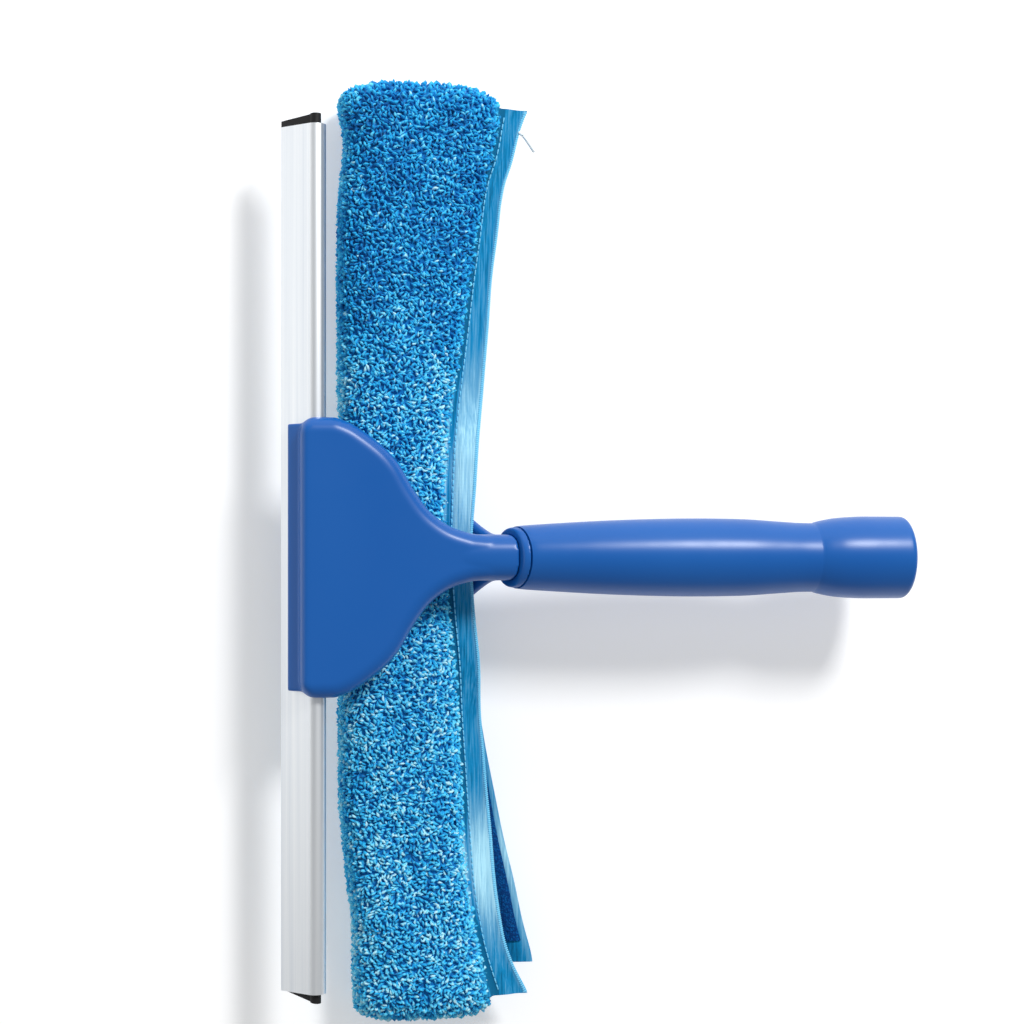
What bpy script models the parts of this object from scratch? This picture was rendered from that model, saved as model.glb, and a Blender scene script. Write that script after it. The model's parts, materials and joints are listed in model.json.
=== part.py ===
"""Two-in-one window tool: a squeegee and a scrubber on one handle.

The tool lies on its scrubber. X runs from the blade to the handle's end, Y along the blade and Z up.
Sizes are in millimetres. The origin is under the middle of the tool's bounding box, on the ground.
"""

import math

import bmesh
import bpy
from mathutils import Vector

MM = 0.001
GAP = 0.3                      # clearance between touching pieces

# Overall layout
BLADE_LENGTH = 304.8           # the rubber's length, 12 inches
BLADE_SHIFT = 0.5              # how far the rubber stands off centre in its channel
CHANNEL_LENGTH = 298.0
SLEEVE_LENGTH = 336.0
AXIS_Z = 36.0                  # height of the handle's axis
LEFT_X = -11.74                # the channel's wiping edge, leftmost point of the tool
END_X = 215.2                  # end of the handle
CENTRE_X = (LEFT_X + END_X) / 2

# Channel and rubber, measured from the channel's ridge: s along its face, t into its depth
RIDGE_X = -0.5
RIDGE_Z = 39.5
FACE_ANGLE = math.radians(45)
CHANNEL_WIDTH = 16.3
BULB_S = 3.3
BULB_T = 3.6
BULB_RADIUS = 3.6
POCKET_RADIUS = 2.3
BEAD_RADIUS = 1.9
STRIP_THICKNESS = 2.0
LIP_S = 18.4
REAR_LIP_S = 15.2
REAR_LIP_T = (4.9, 6.1)
SLOT_T = (2.3, 4.9)
FRONT_WALL = 1.2

# Squeegee head
HEAD_TOP = 44.0
HEAD_BOTTOM = 34.5
HEAD_LEFT = -6.3
HEAD_HALF_WIDTH = 48.4
HEAD_FILLET = 5.0
HEAD_LOWER_FILLET = 1.2
HEAD_CORNER = 5.6
SHOULDER = [
    (6.0, 48.4), (10.0, 47.0), (14.5, 44.6), (22.8, 38.4), (28.2, 32.4),
    (33.0, 24.2), (38.7, 16.4), (46.0, 11.0), (54.0, 8.3),
]
NECK_HALF_WIDTH = 7.9
NECK_BOTTOM = 29.2
NECK_START = 40.0
NECK_END = 67.2
NECK_INSET_X = 4.5             # how far the slab stops short of the neck's end
NECK_TOP = (43.0, 44.3)        # where the neck starts inside the head, and where it ends
NECK_SQUARENESS = 0.8
MOUTH_SLANT = 0.33             # how far the collar and mouth lean, in X per unit of Z
TENON_RADIUS = 7.5
TENON_FLAT = 6.3               # half height of the tenon between its two flats
TENON_START = 59.2
TENON_END = 112.0
SHELL = 2.6
POCKET_X = (24.0, 42.0)
POCKET_FILLETS = (0.4, 1.2)
RIB_Y = (-20.0, -7.0, 7.0, 20.0)
RIB_THICKNESS = 1.8
JAW_HALF_WIDTH = 46.2
REAR_JAW_HALF_WIDTH = 38.5
REAR_JAW_END = 19.5
JAW_LIP = 3.2                  # thickness of the lip over the channel's face
JAW_REACH = 11.2               # how far the lip reaches along that face
JAW_ROOT_X = 11.0
JAW_EDGE = 1.2
OVERLAP = 2.0                  # how deep joined shapes sink into each other
JAW_SCREW = (13.5, 28.0)       # X and half the spacing in Y
FLANGE_THICKNESS = 3.0

# Scrubber arm and bar
COLLAR_X = (67.6, 70.2)
COLLAR_RADIUS = 10.5
STEM_PATH = [(64.6, 26.6), (62.9, 22.9), (60.2, 18.3), (57.0, 15.0), (53.0, 14.0)]
STEM_HALF_WIDTHS = [8.2, 9.0, 11.5, 15.0, 20.0]
STEM_THICKNESS = 4.4
ARM_FLANGE = (50.3, 53.6, 34.0, 9.6, 18.4)     # X low, X high, half width, Z low, Z high
BAR_X = (20.0, 50.0)
BAR_Z = (7.5, 20.5)
BAR_LENGTH = 298.0
BAR_WALL = 2.2
BAR_CORNER = 4.0
CAP_THICKNESS = 3.2
BAR_SCREW_Y = 28.0
WATER_SLOTS = (-120.0, -80.0, -40.0, 0.0, 40.0, 80.0, 120.0)
WATER_SLOT = (29.0, 41.0, -8.0, 8.0)           # X range, and Y range about each slot's middle
BAR_CORE_CORNER = 1.4
PLUG_DEPTH = 6.0

# Sleeve and its borders
SLEEVE_LEFT = 9.0
SLEEVE_RIGHT = 48.0
SLEEVE_TOP = 27.8
SLEEVE_ROUND = 9.0
CAVITY_X = 19.4
CAVITY_Z = (6.9, 21.1)
CAVITY_HALF_LENGTH = 153.2
HEM_WIDTH = 9.3
HEM_HALF_LENGTH = 159.0
HEM_THICKNESS = 2.4
HEM_Z = (12.1, 15.9)           # facing surfaces of the rear and front borders at their edges
HEM_LIFT = 4.0                 # how far the borders part around the stem
HEM_LIFT_Y = (34.0, 60.0)      # where the parting starts to fade and where it is gone
FLARE = 20.5                   # how far the borders spread at the sleeve's ends
STRIP_Y = (62.0, 148.0)
STRIP_X = (-9.0, -1.0)         # from the border's edge
FASTENER_THICKNESS = 1.2

# Handle
MOUTH_X = 70.5
HANDLE_STATIONS = [
    (70.5, 11.0), (74.0, 11.4), (86.0, 12.2), (106.0, 13.3), (130.0, 14.0),
    (152.0, 13.9), (166.0, 13.1), (174.0, 12.6), (180.0, 12.5),
]
FLARE_STATIONS = [
    (181.0, 12.9), (184.0, 13.6), (189.0, 14.4), (197.0, 14.95), (205.0, 15.0), (213.4, 15.0),
]
RIM = [(214.7, 14.6), (215.2, 13.8), (215.2, 12.2)]
BORE_CLEARANCE = 0.35
SLANT_FADE = 24.0              # length over which the mouth's slant dies away
SOCKET_RADIUS = 12.0
SOCKET_START = 184.0
CORE_STATIONS = [(184.0, 10.4), (176.0, 10.4), (166.0, 11.0), (130.0, 11.9), (118.0, 11.5)]
CORE_START = 113.5
LINER_X = (184.4, 213.6)
LINER_RADIUS = 11.7
THREAD_RADIUS = 9.9
THREAD_DEPTH = 0.9
THREAD_PITCH = 4.0

SCREW_SHAFT = 1.4
SCREW_HEAD = (3.0, 1.7)        # radius and height
SCREW_RECESS = (1.6, 0.35, 1.0)                # half length, half width and depth of the cross
JAW_SCREW_LENGTH = 8.6
JAW_SCREW_DEPTH = 6.3          # of its hole in the head
BAR_SCREW_LENGTH = 7.5
ROUND_STEPS = 23               # sides of screws and screw holes, less one

# Blocks that cut the head are larger than it on every side
CUT_Y = 60.0
CUT_Z = (20.0, 50.0)
CUT_LEFT = -20.0
CUT_RIGHT = 130.0


def clear_scene():
    for obj in list(bpy.data.objects):
        bpy.data.objects.remove(obj)


def material(name, colour, roughness, metallic=0.0):
    made = bpy.data.materials.new(name)
    made.use_nodes = True
    shader = made.node_tree.nodes["Principled BSDF"]
    shader.inputs["Base Color"].default_value = (*colour, 1.0)
    shader.inputs["Roughness"].default_value = roughness
    shader.inputs["Metallic"].default_value = metallic
    return made


def empty(name, place, parent=None):
    """A frame at a point of the tool, which is also a moving piece's joint axis."""
    made = bpy.data.objects.new(name, None)
    bpy.context.collection.objects.link(made)
    made["place"] = place
    made.parent = parent
    home = parent["place"] if parent else (CENTRE_X, 0.0, 0.0)
    made.location = (Vector(place) - Vector(home)) * MM
    return made


def solid(name, rings, surface, frame, wrap=False):
    """A closed body through rings of points, capped at both ends or wrapped round like a tube."""
    shape = bmesh.new()
    home = Vector(frame["place"])
    loops = [[shape.verts.new((Vector(p) - home) * MM) for p in ring] for ring in rings]
    pairs = list(zip(loops, loops[1:]))
    if wrap:
        pairs.append((loops[-1], loops[0]))
    for first, second in pairs:
        for i in range(len(first)):
            j = (i + 1) % len(first)
            shape.faces.new((first[i], first[j], second[j], second[i]))
    if not wrap:
        shape.faces.new(loops[0])
        shape.faces.new(loops[-1])
    bmesh.ops.recalc_face_normals(shape, faces=shape.faces)
    mesh = bpy.data.meshes.new(name)
    shape.to_mesh(mesh)
    shape.free()
    mesh.shade_smooth()
    mesh.set_sharp_from_angle(angle=math.radians(35))
    made = bpy.data.objects.new(name, mesh)
    bpy.context.collection.objects.link(made)
    made.parent = frame
    if surface:
        mesh.materials.append(surface)
    return made


def combine(target, tool, operation):
    """Joins or cuts the target by a tool that isn't part of the model."""
    step = target.modifiers.new(tool.name, "BOOLEAN")
    step.object = tool
    step.operation = operation
    step.solver = "EXACT"
    tool.hide_render = True
    tool.display_type = "WIRE"


def box(name, low, high, surface, frame):
    (x0, y0, z0), (x1, y1, z1) = low, high
    ring = [(x0, y0), (x1, y0), (x1, y1), (x0, y1)]
    return solid(name, [[(x, y, z) for x, y in ring] for z in (z0, z1)], surface, frame)


def arc(centre, radius, start, end, steps):
    """Points of an arc between two angles in degrees."""
    points = []
    for i in range(steps + 1):
        angle = math.radians(start + (end - start) * i / steps)
        points.append((centre[0] + radius * math.cos(angle), centre[1] + radius * math.sin(angle)))
    return points


def curve_through(points, steps):
    """A Catmull-Rom curve through the points."""
    ends = [points[0]] + list(points) + [points[-1]]
    made = []
    for a, b, c, d in zip(ends, ends[1:], ends[2:], ends[3:]):
        for i in range(steps):
            t = i / steps
            made.append(tuple(
                0.5 * (2 * q + (r - p) * t + (2 * p - 5 * q + 4 * r - s) * t ** 2
                       + (3 * q - p - 3 * r + s) * t ** 3)
                for p, q, r, s in zip(a, b, c, d)
            ))
    return made + [tuple(points[-1])]


def inset(outline, distance):
    """A counter-clockwise outline moved inwards by a distance."""
    made = []
    for i, point in enumerate(outline):
        before = (Vector(point) - Vector(outline[i - 1])).normalized()
        after = (Vector(outline[(i + 1) % len(outline)]) - Vector(point)).normalized()
        normal = Vector((-before.y - after.y, before.x + after.x)).normalized()
        stretch = 1 / max(0.5, normal.dot(Vector((-before.y, before.x))))
        made.append(tuple(Vector(point) + normal * distance * stretch))
    return made


def channel_point(s, t):
    """A place in the channel's section, as X and Z of the tool."""
    x = RIDGE_X - s * math.cos(FACE_ANGLE) + t * math.sin(FACE_ANGLE)
    z = RIDGE_Z - s * math.sin(FACE_ANGLE) - t * math.cos(FACE_ANGLE)
    return x, z


def extrude_y(name, section, y0, y1, surface, frame):
    """A section in X and Z drawn out along the blade."""
    return solid(name, [[(x, y, z) for x, z in section] for y in (y0, y1)], surface, frame)


def rounded_section(x0, x1, z0, z1, radius, steps=4):
    corners = [(x1 - radius, z1 - radius, 0), (x0 + radius, z1 - radius, 90),
               (x0 + radius, z0 + radius, 180), (x1 - radius, z0 + radius, 270)]
    section = []
    for x, z, angle in corners:
        section += arc((x, z), radius, angle, angle + 90, steps)
    return section


def round_ring(x, radius, count, flat=None, slant=0.0):
    """A ring round the handle's axis, with an optional flat above and below, leaning by slant."""
    ring = []
    for i in range(count):
        angle = 2 * math.pi * (i + 0.5) / count
        y = radius * math.cos(angle)
        z = radius * math.sin(angle)
        if flat:
            z = max(-flat, min(flat, z))
        ring.append((x + slant * z, y, AXIS_Z + z))
    return ring


def head_outline():
    """The head and neck seen from above, counter-clockwise."""
    corner = (HEAD_LEFT + HEAD_CORNER, HEAD_HALF_WIDTH - HEAD_CORNER)
    shoulder = curve_through(SHOULDER, 4)
    half = [(NECK_END - NECK_INSET_X, NECK_HALF_WIDTH - 0.4)] + shoulder[::-1]
    half += arc(corner, HEAD_CORNER, 90, 180, 6)
    return half + [(x, -y) for x, y in half[::-1]]


def head_slab(name, outline, low, high, fillets, surface, frame):
    """A flat moulding with rounded edges below and above."""
    levels = []
    for i in range(5):
        turn = math.radians(90 * i / 4)
        levels.append((fillets[0] * (1 - math.sin(turn)), low + fillets[0] * (1 - math.cos(turn))))
    for i in range(5):
        turn = math.radians(90 * i / 4)
        levels.append((fillets[1] * (1 - math.cos(turn)), high - fillets[1] * (1 - math.sin(turn))))
    rings = [[(x, y, z) for x, y in inset(outline, back)] for back, z in levels]
    return solid(name, rings, surface, frame)


def channel_shape(grow):
    """The channel's outer outline as a closed tube, grown by a clearance, to cut its seat."""
    bulb = arc((BULB_S, BULB_T), BULB_RADIUS + grow, 270, 60, 12)
    tail = [(REAR_LIP_S + grow, REAR_LIP_T[1] + grow), (CHANNEL_WIDTH + 20, REAR_LIP_T[1] + grow)]
    return [(CHANNEL_WIDTH + 20, -grow)] + bulb + tail


def neck_rings():
    """The neck's sections, from inside the head to the slanted end that meets the collar."""
    rings = []
    for i in range(9):
        part = i / 8
        grow = math.sin(math.pi / 2 * min(1.0, part * 1.6))
        top = NECK_TOP[0] + (NECK_TOP[1] - NECK_TOP[0]) * grow
        bottom = HEAD_BOTTOM + OVERLAP + (NECK_BOTTOM - HEAD_BOTTOM - OVERLAP) * grow
        ring = []
        for j in range(32):
            angle = 2 * math.pi * (j + 0.5) / 32
            y = math.copysign(abs(math.cos(angle)) ** NECK_SQUARENESS, math.cos(angle))
            z = math.copysign(abs(math.sin(angle)) ** NECK_SQUARENESS, math.sin(angle))
            level = (top + bottom) / 2 + (top - bottom) / 2 * z
            lean = MOUTH_SLANT * (level - AXIS_Z) * max(0.0, part - 0.5) * 2
            x = NECK_START + (NECK_END - NECK_START) * part + lean
            ring.append((x, (NECK_HALF_WIDTH - 1.0 + 1.2 * grow) * y, level))
        rings.append(ring)
    return rings


def make_head(surface, frame):
    outline = head_outline()
    fillets = (HEAD_LOWER_FILLET, HEAD_FILLET)
    head = head_slab("squeegee_head", outline, HEAD_BOTTOM, HEAD_TOP, fillets, surface, frame)

    lip = [
        channel_point(1.0, -JAW_LIP), channel_point(JAW_REACH - JAW_EDGE, -JAW_LIP),
        channel_point(JAW_REACH, -JAW_LIP + JAW_EDGE), channel_point(JAW_REACH, 1.0), channel_point(1.0, 6.0),
        (JAW_ROOT_X, HEAD_BOTTOM + OVERLAP), (JAW_ROOT_X, HEAD_TOP - OVERLAP), (RIDGE_X, HEAD_TOP - OVERLAP),
    ]
    jaw = extrude_y("jaw_lip_shape", lip, -JAW_HALF_WIDTH, JAW_HALF_WIDTH, None, frame)
    combine(head, jaw, "UNION")

    combine(head, solid("neck_shape", neck_rings(), None, frame), "UNION")

    stations = [
        (TENON_START, TENON_RADIUS), (TENON_END - 2.5, TENON_RADIUS - 0.2), (TENON_END, TENON_RADIUS - 1.6),
    ]
    tenon = [round_ring(x, radius, 40, TENON_FLAT) for x, radius in stations]
    combine(head, solid("tenon_shape", tenon, None, frame), "UNION")

    hollow = head_slab("hollow_shape", inset(outline, SHELL), HEAD_BOTTOM - 5.0,
                       HEAD_TOP - SHELL, POCKET_FILLETS, None, frame)
    low_z, high_z = CUT_Z
    keep_left = box("keep_left_shape", (CUT_LEFT, -CUT_Y, low_z), (POCKET_X[0], CUT_Y, high_z), None, frame)
    keep_neck = box("keep_neck_shape", (POCKET_X[1], -CUT_Y, low_z), (CUT_RIGHT, CUT_Y, high_z), None, frame)
    combine(hollow, keep_left, "DIFFERENCE")
    combine(hollow, keep_neck, "DIFFERENCE")
    for i, y in enumerate(RIB_Y):
        low = (CUT_LEFT, y - RIB_THICKNESS / 2, low_z)
        high = (CUT_RIGHT, y + RIB_THICKNESS / 2, high_z)
        rib = box(f"rib_shape_{i}", low, high, None, frame)
        combine(hollow, rib, "DIFFERENCE")
    combine(head, hollow, "DIFFERENCE")

    seat = [channel_point(s, t) for s, t in channel_shape(GAP)]
    combine(head, extrude_y("seat_shape", seat, -CUT_Y, CUT_Y, None, frame), "DIFFERENCE")
    for side in (-1, 1):
        combine(head, jaw_hole(f"head_hole_{side}", side, HEAD_BOTTOM + JAW_SCREW_DEPTH, frame), "DIFFERENCE")
    return head


def jaw_hole(name, side, top, frame):
    """A round cutter for one of the jaw screws, from below both parts up to a height."""
    x, y = JAW_SCREW
    ring = arc((x, side * y), SCREW_SHAFT + GAP, 0, 345, ROUND_STEPS)
    return solid(name, [[(px, py, z) for px, py in ring] for z in (CUT_Z[0], top)], None, frame)


def make_rear_jaw(surface, frame):
    top = HEAD_BOTTOM - GAP
    section = [
        channel_point(13.0, 7.5), channel_point(2.2, 7.5), (4.6, top), (REAR_JAW_END, top),
        (REAR_JAW_END, top - FLANGE_THICKNESS + 0.8), (REAR_JAW_END - 0.8, top - FLANGE_THICKNESS),
        (5.4, top - FLANGE_THICKNESS), channel_point(12.4, 10.2), channel_point(13.0, 9.6),
    ]
    jaw = extrude_y("rear_jaw", section, -REAR_JAW_HALF_WIDTH, REAR_JAW_HALF_WIDTH, surface, frame)
    for side in (-1, 1):
        combine(jaw, jaw_hole(f"jaw_hole_{side}", side, top + OVERLAP, frame), "DIFFERENCE")
    return jaw


def make_screw(name, seat, direction, length, surface, frame):
    """A pan-head screw with a cross recess; direction points from its head to its tip."""
    along = Vector(direction)
    side = along.orthogonal().normalized()
    other = along.cross(side)
    radius, height = SCREW_HEAD
    stations = [
        (-height, radius * 0.7), (-height * 0.7, radius * 0.93), (-height * 0.3, radius), (-0.05, radius),
        (0.0, radius - 0.05), (0.0, SCREW_SHAFT), (length - 1.5, SCREW_SHAFT), (length, 0.4),
    ]
    rings = []
    for depth, r in stations:
        rings.append([tuple(Vector(seat) + along * depth + side * p[0] + other * p[1])
                      for p in arc((0, 0), r, 0, 345, ROUND_STEPS)])
    screw = solid(name, rings, surface, frame)
    length, width, deep = SCREW_RECESS
    for i, (a, b) in enumerate(((side, other), (other, side))):
        rings = []
        for depth in (-height - 1, -height + deep):
            corners = [(length, width), (-length, width), (-length, -width), (length, -width)]
            rings.append([tuple(Vector(seat) + along * depth + a * u + b * v) for u, v in corners])
        combine(screw, solid(f"{name}_recess_{i}", rings, None, frame), "DIFFERENCE")
    return screw


def make_channel(surface, frame):
    """An extrusion with a flat face, a round pocket for the rubber's bead and a rear lip."""
    half = (SLOT_T[1] - SLOT_T[0]) / 2
    mouth = math.degrees(math.asin(half / POCKET_RADIUS))
    join = math.degrees(math.asin((REAR_LIP_T[1] - BULB_T) / BULB_RADIUS))
    centre = (BULB_S, BULB_T)
    outline = arc(centre, BULB_RADIUS, 270, join, 16)
    outline += [(REAR_LIP_S - 0.5, REAR_LIP_T[1]), (REAR_LIP_S, REAR_LIP_T[1] - 0.5)]
    outline += [(REAR_LIP_S, REAR_LIP_T[0])]
    outline += arc(centre, POCKET_RADIUS, mouth, 360 - mouth, 14)
    outline += [(7.4, SLOT_T[0]), (7.8, FRONT_WALL), (13.2, FRONT_WALL), (13.6, SLOT_T[0]),
                (CHANNEL_WIDTH - 0.4, SLOT_T[0]), (CHANNEL_WIDTH, SLOT_T[0] - 0.4), (CHANNEL_WIDTH, 0.4),
                (CHANNEL_WIDTH - 0.4, 0.0)]
    section = [channel_point(s, t) for s, t in outline]
    return extrude_y("blade_channel", section, -CHANNEL_LENGTH / 2, CHANNEL_LENGTH / 2, surface, frame)


def make_rubber(surface, frame):
    """A strip with a round bead along one edge and a squared wiping lip along the other."""
    half = STRIP_THICKNESS / 2
    mouth = math.degrees(math.asin(half / BEAD_RADIUS))
    outline = arc((BULB_S, BULB_T), BEAD_RADIUS, mouth, 360 - mouth, 14)
    outline += [(LIP_S - 2.2, BULB_T - half), (LIP_S, BULB_T - half * 0.6), (LIP_S, BULB_T + half * 0.6),
                (LIP_S - 2.2, BULB_T + half)]
    section = [channel_point(s, t) for s, t in outline]
    low = BLADE_SHIFT - BLADE_LENGTH / 2
    return extrude_y("rubber_blade", section, low, low + BLADE_LENGTH, surface, frame)


def make_arm(surface, frame):
    """The collar round the tenon, the flared stem below it and the flange that meets the bar."""
    x0, x1 = COLLAR_X
    outer = [(x0, COLLAR_RADIUS - 0.8), (x0 + 0.6, COLLAR_RADIUS), (x1, COLLAR_RADIUS + 0.3)]
    bore = [(x1, TENON_RADIUS + BORE_CLEARANCE), (x0, TENON_RADIUS + BORE_CLEARANCE)]
    rings = [round_ring(x, radius, 40, None, MOUTH_SLANT) for x, radius in outer]
    rings += [round_ring(x, radius, 40, TENON_FLAT + BORE_CLEARANCE, MOUTH_SLANT) for x, radius in bore]
    arm = solid("scrubber_arm", rings, surface, frame, wrap=True)

    path = curve_through([(x, z, w) for (x, z), w in zip(STEM_PATH, STEM_HALF_WIDTHS)], 4)
    rings = []
    for i, (x, z, width) in enumerate(path):
        before = path[max(0, i - 1)]
        after = path[min(len(path) - 1, i + 1)]
        along = Vector((after[0] - before[0], after[1] - before[1])).normalized()
        normal = Vector((-along.y, along.x))
        ring = []
        for y, depth in rounded_section(-width, width, -STEM_THICKNESS / 2, STEM_THICKNESS / 2, 2.0, 3):
            ring.append((x + normal.x * depth, y, z + normal.y * depth))
        rings.append(ring)
    combine(arm, solid("stem_shape", rings, None, frame), "UNION")

    low_x, high_x, half, low_z, high_z = ARM_FLANGE
    section = rounded_section(-half, half, low_z, high_z, 3.0)
    flange = solid("flange_shape", [[(x, y, z) for y, z in section] for x in (low_x, high_x)], None, frame)
    combine(arm, flange, "UNION")
    for side in (-1, 1):
        hole = bar_hole(f"flange_hole_{side}", side, low_x - OVERLAP, high_x + OVERLAP, frame)
        combine(arm, hole, "DIFFERENCE")
    return arm


def bar_hole(name, side, low, high, frame):
    """A round cutter for one of the bar screws."""
    ring = arc((side * BAR_SCREW_Y, (BAR_Z[0] + BAR_Z[1]) / 2), SCREW_SHAFT + GAP, 0, 345, ROUND_STEPS)
    return solid(name, [[(x, y, z) for y, z in ring] for x in (low, high)], None, frame)


def make_bar(surface, frame):
    """A flat tube with slots that hold water."""
    outer = rounded_section(*BAR_X, *BAR_Z, BAR_CORNER)
    hollow_x = (BAR_X[0] + BAR_WALL, BAR_X[1] - BAR_WALL)
    hollow_z = (BAR_Z[0] + BAR_WALL, BAR_Z[1] - BAR_WALL)
    inner = rounded_section(*hollow_x, *hollow_z, BAR_CORNER - BAR_WALL)
    end = BAR_LENGTH / 2
    rings = []
    for section, y in ((outer, -end), (outer, end), (inner, end), (inner, -end)):
        rings.append([(x, y, z) for x, z in section])
    bar = solid("bar_tube", rings, surface, frame, wrap=True)
    outline = rounded_section(*WATER_SLOT, 3.0, 2)
    for i, y in enumerate(WATER_SLOTS):
        slot = [[(x, y + v, z) for x, v in outline] for z in (0, SLEEVE_TOP)]
        combine(bar, solid(f"slot_shape_{i}", slot, None, frame), "DIFFERENCE")
    for side in (-1, 1):
        hole = bar_hole(f"bar_hole_{side}", side, BAR_X[1] - BAR_WALL - OVERLAP, BAR_X[1] + OVERLAP, frame)
        combine(bar, hole, "DIFFERENCE")
    return bar


def make_bar_cap(name, side, surface, frame):
    """A plug pressed into one end of the bar."""
    inner = BAR_WALL + GAP
    plug_x = (BAR_X[0] + inner, BAR_X[1] - inner)
    plug_z = (BAR_Z[0] + inner, BAR_Z[1] - inner)
    plug = rounded_section(*plug_x, *plug_z, BAR_CORE_CORNER)
    cover = rounded_section(*BAR_X, *BAR_Z, BAR_CORNER)
    crown = rounded_section(BAR_X[0] + 1, BAR_X[1] - 1, BAR_Z[0] + 1, BAR_Z[1] - 1, BAR_CORNER - 1)
    start = BAR_LENGTH / 2 + GAP
    stations = [(plug, start - PLUG_DEPTH), (plug, start), (cover, start), (cover, start + CAP_THICKNESS - 1),
                (crown, start + CAP_THICKNESS)]
    rings = [[(x, side * y, z) for x, z in section] for section, y in stations]
    return solid(name, rings, surface, frame)


def flare(y, rear=False):
    """How far the sleeve's borders have spread at a place along the bar."""
    spread = FLARE * (abs(y) / 161.0) ** 1.6
    return spread * (1.2 if rear and y < 0 else 1.0)


def make_sleeve(surface, frame):
    """A thick cloth folded round the bar, open along the handle's side and closed at both ends."""
    end = SLEEVE_LENGTH / 2
    rings = []
    for i in range(31):
        turn = math.radians(-90 + 180 * i / 30)
        y = end * math.copysign(abs(math.sin(turn)) ** 0.55, math.sin(turn))
        left_over = max(0.0, 1 - (abs(y) / end) ** 16)
        shrink = 0.62 + 0.38 * left_over ** 0.5
        right = SLEEVE_RIGHT + flare(y)
        middle = (SLEEVE_LEFT + right) / 2
        half = (right - SLEEVE_LEFT) / 2 * shrink
        centre_z = SLEEVE_TOP / 2
        half_z = SLEEVE_TOP / 2 * (0.45 + 0.55 * left_over ** 0.5)
        section = rounded_section(middle - half, middle + half, centre_z - half_z, centre_z + half_z,
                                  min(SLEEVE_ROUND, half_z * 0.75), 5)
        rings.append([(x, y, z) for x, z in section])
    sleeve = solid("sleeve_pile", rings, surface, frame)
    cavity = rounded_section(CAVITY_X, 110, *CAVITY_Z, 3.5, 3)
    cut = [[(x, y, z) for x, z in cavity] for y in (-CAVITY_HALF_LENGTH, CAVITY_HALF_LENGTH)]
    combine(sleeve, solid("cavity_shape", cut, None, frame), "DIFFERENCE")
    return sleeve


def smooth_step(value):
    value = max(0.0, min(1.0, value))
    return value * value * (3 - 2 * value)


def hem_points(y, front):
    """The border's section at a place along the bar: inner edge, outer edge, facing heights."""
    near, far = HEM_LIFT_Y
    lift = HEM_LIFT * (1 - smooth_step((abs(y) - near) / (far - near)))
    start = SLEEVE_RIGHT + flare(y) + GAP
    edge = SLEEVE_RIGHT + HEM_WIDTH + flare(y, rear=not front)
    if front:
        return start, edge, CAVITY_Z[1] + 0.2, HEM_Z[1] + lift, 1
    return start, edge, CAVITY_Z[0] - 0.2, HEM_Z[0] - lift, -1


def make_hem(name, front, surface, frame):
    rings = []
    for i in range(41):
        y = HEM_HALF_LENGTH * (i / 20 - 1)
        start, edge, root, face, up = hem_points(y, front)
        rings.append([(start, y, root), (edge, y, face), (edge, y, face + up * HEM_THICKNESS),
                      (start, y, root + up * HEM_THICKNESS * 1.6)])
    return solid(name, rings, surface, frame)


def make_fastener(name, front, side, surface, frame):
    """A hook or loop strip sewn along the inside of a border."""
    rings = []
    for i in range(13):
        y = side * (STRIP_Y[0] + (STRIP_Y[1] - STRIP_Y[0]) * i / 12)
        start, edge, root, face, up = hem_points(y, front)
        slope = (face - root) / (edge - start)
        ring = []
        for offset, depth in ((STRIP_X[0], GAP), (STRIP_X[1], GAP), (STRIP_X[1], GAP + FASTENER_THICKNESS),
                              (STRIP_X[0], GAP + FASTENER_THICKNESS)):
            ring.append((edge + offset, y, face + slope * offset - up * depth))
        rings.append(ring)
    return solid(name, rings, surface, frame)


def make_handle(surface, frame):
    """A tapered tube with a waist, a flared end for a pole and a slanted mouth over the tenon."""
    count = 48
    outer = curve_through(HANDLE_STATIONS, 2) + curve_through(FLARE_STATIONS, 2) + RIM
    bore = TENON_RADIUS + BORE_CLEARANCE
    flat = TENON_FLAT + BORE_CLEARANCE
    rings = []
    for x, radius in outer:
        slant = MOUTH_SLANT * max(0.0, 1 - (x - MOUTH_X) / SLANT_FADE)
        rings.append(round_ring(x, radius, count, None, slant))
    inside = [(END_X, SOCKET_RADIUS), (SOCKET_START, SOCKET_RADIUS)] + CORE_STATIONS
    rings += [round_ring(x, radius, count) for x, radius in inside]
    rings.append(round_ring(CORE_START, bore, count, flat))
    rings.append(round_ring(MOUTH_X, bore, count, flat, MOUTH_SLANT))
    return solid("handle_tube", rings, surface, frame, wrap=True)


def make_liner(surface, frame):
    """The threaded sleeve inside the flared end; its thread is a helix of its inner wall."""
    count = 32
    x0, x1 = LINER_X
    rings = [round_ring(x0, LINER_RADIUS, count), round_ring(x1 - 0.6, LINER_RADIUS, count),
             round_ring(x1, LINER_RADIUS - 0.6, count)]
    steps = 30
    for i in range(steps + 1):
        x = x1 - (x1 - x0) * i / steps
        ring = []
        for j in range(count):
            angle = 2 * math.pi * (j + 0.5) / count
            turn = (x / THREAD_PITCH - j / count) % 1.0
            groove = THREAD_DEPTH * (0.5 + 0.5 * math.cos(2 * math.pi * turn))
            fade = min(1.0, i / 4)
            radius = THREAD_RADIUS + groove * fade
            ring.append((x, radius * math.cos(angle), AXIS_Z + radius * math.sin(angle)))
        rings.append(ring)
    return solid("pole_socket_liner", rings, surface, frame, wrap=True)


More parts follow.
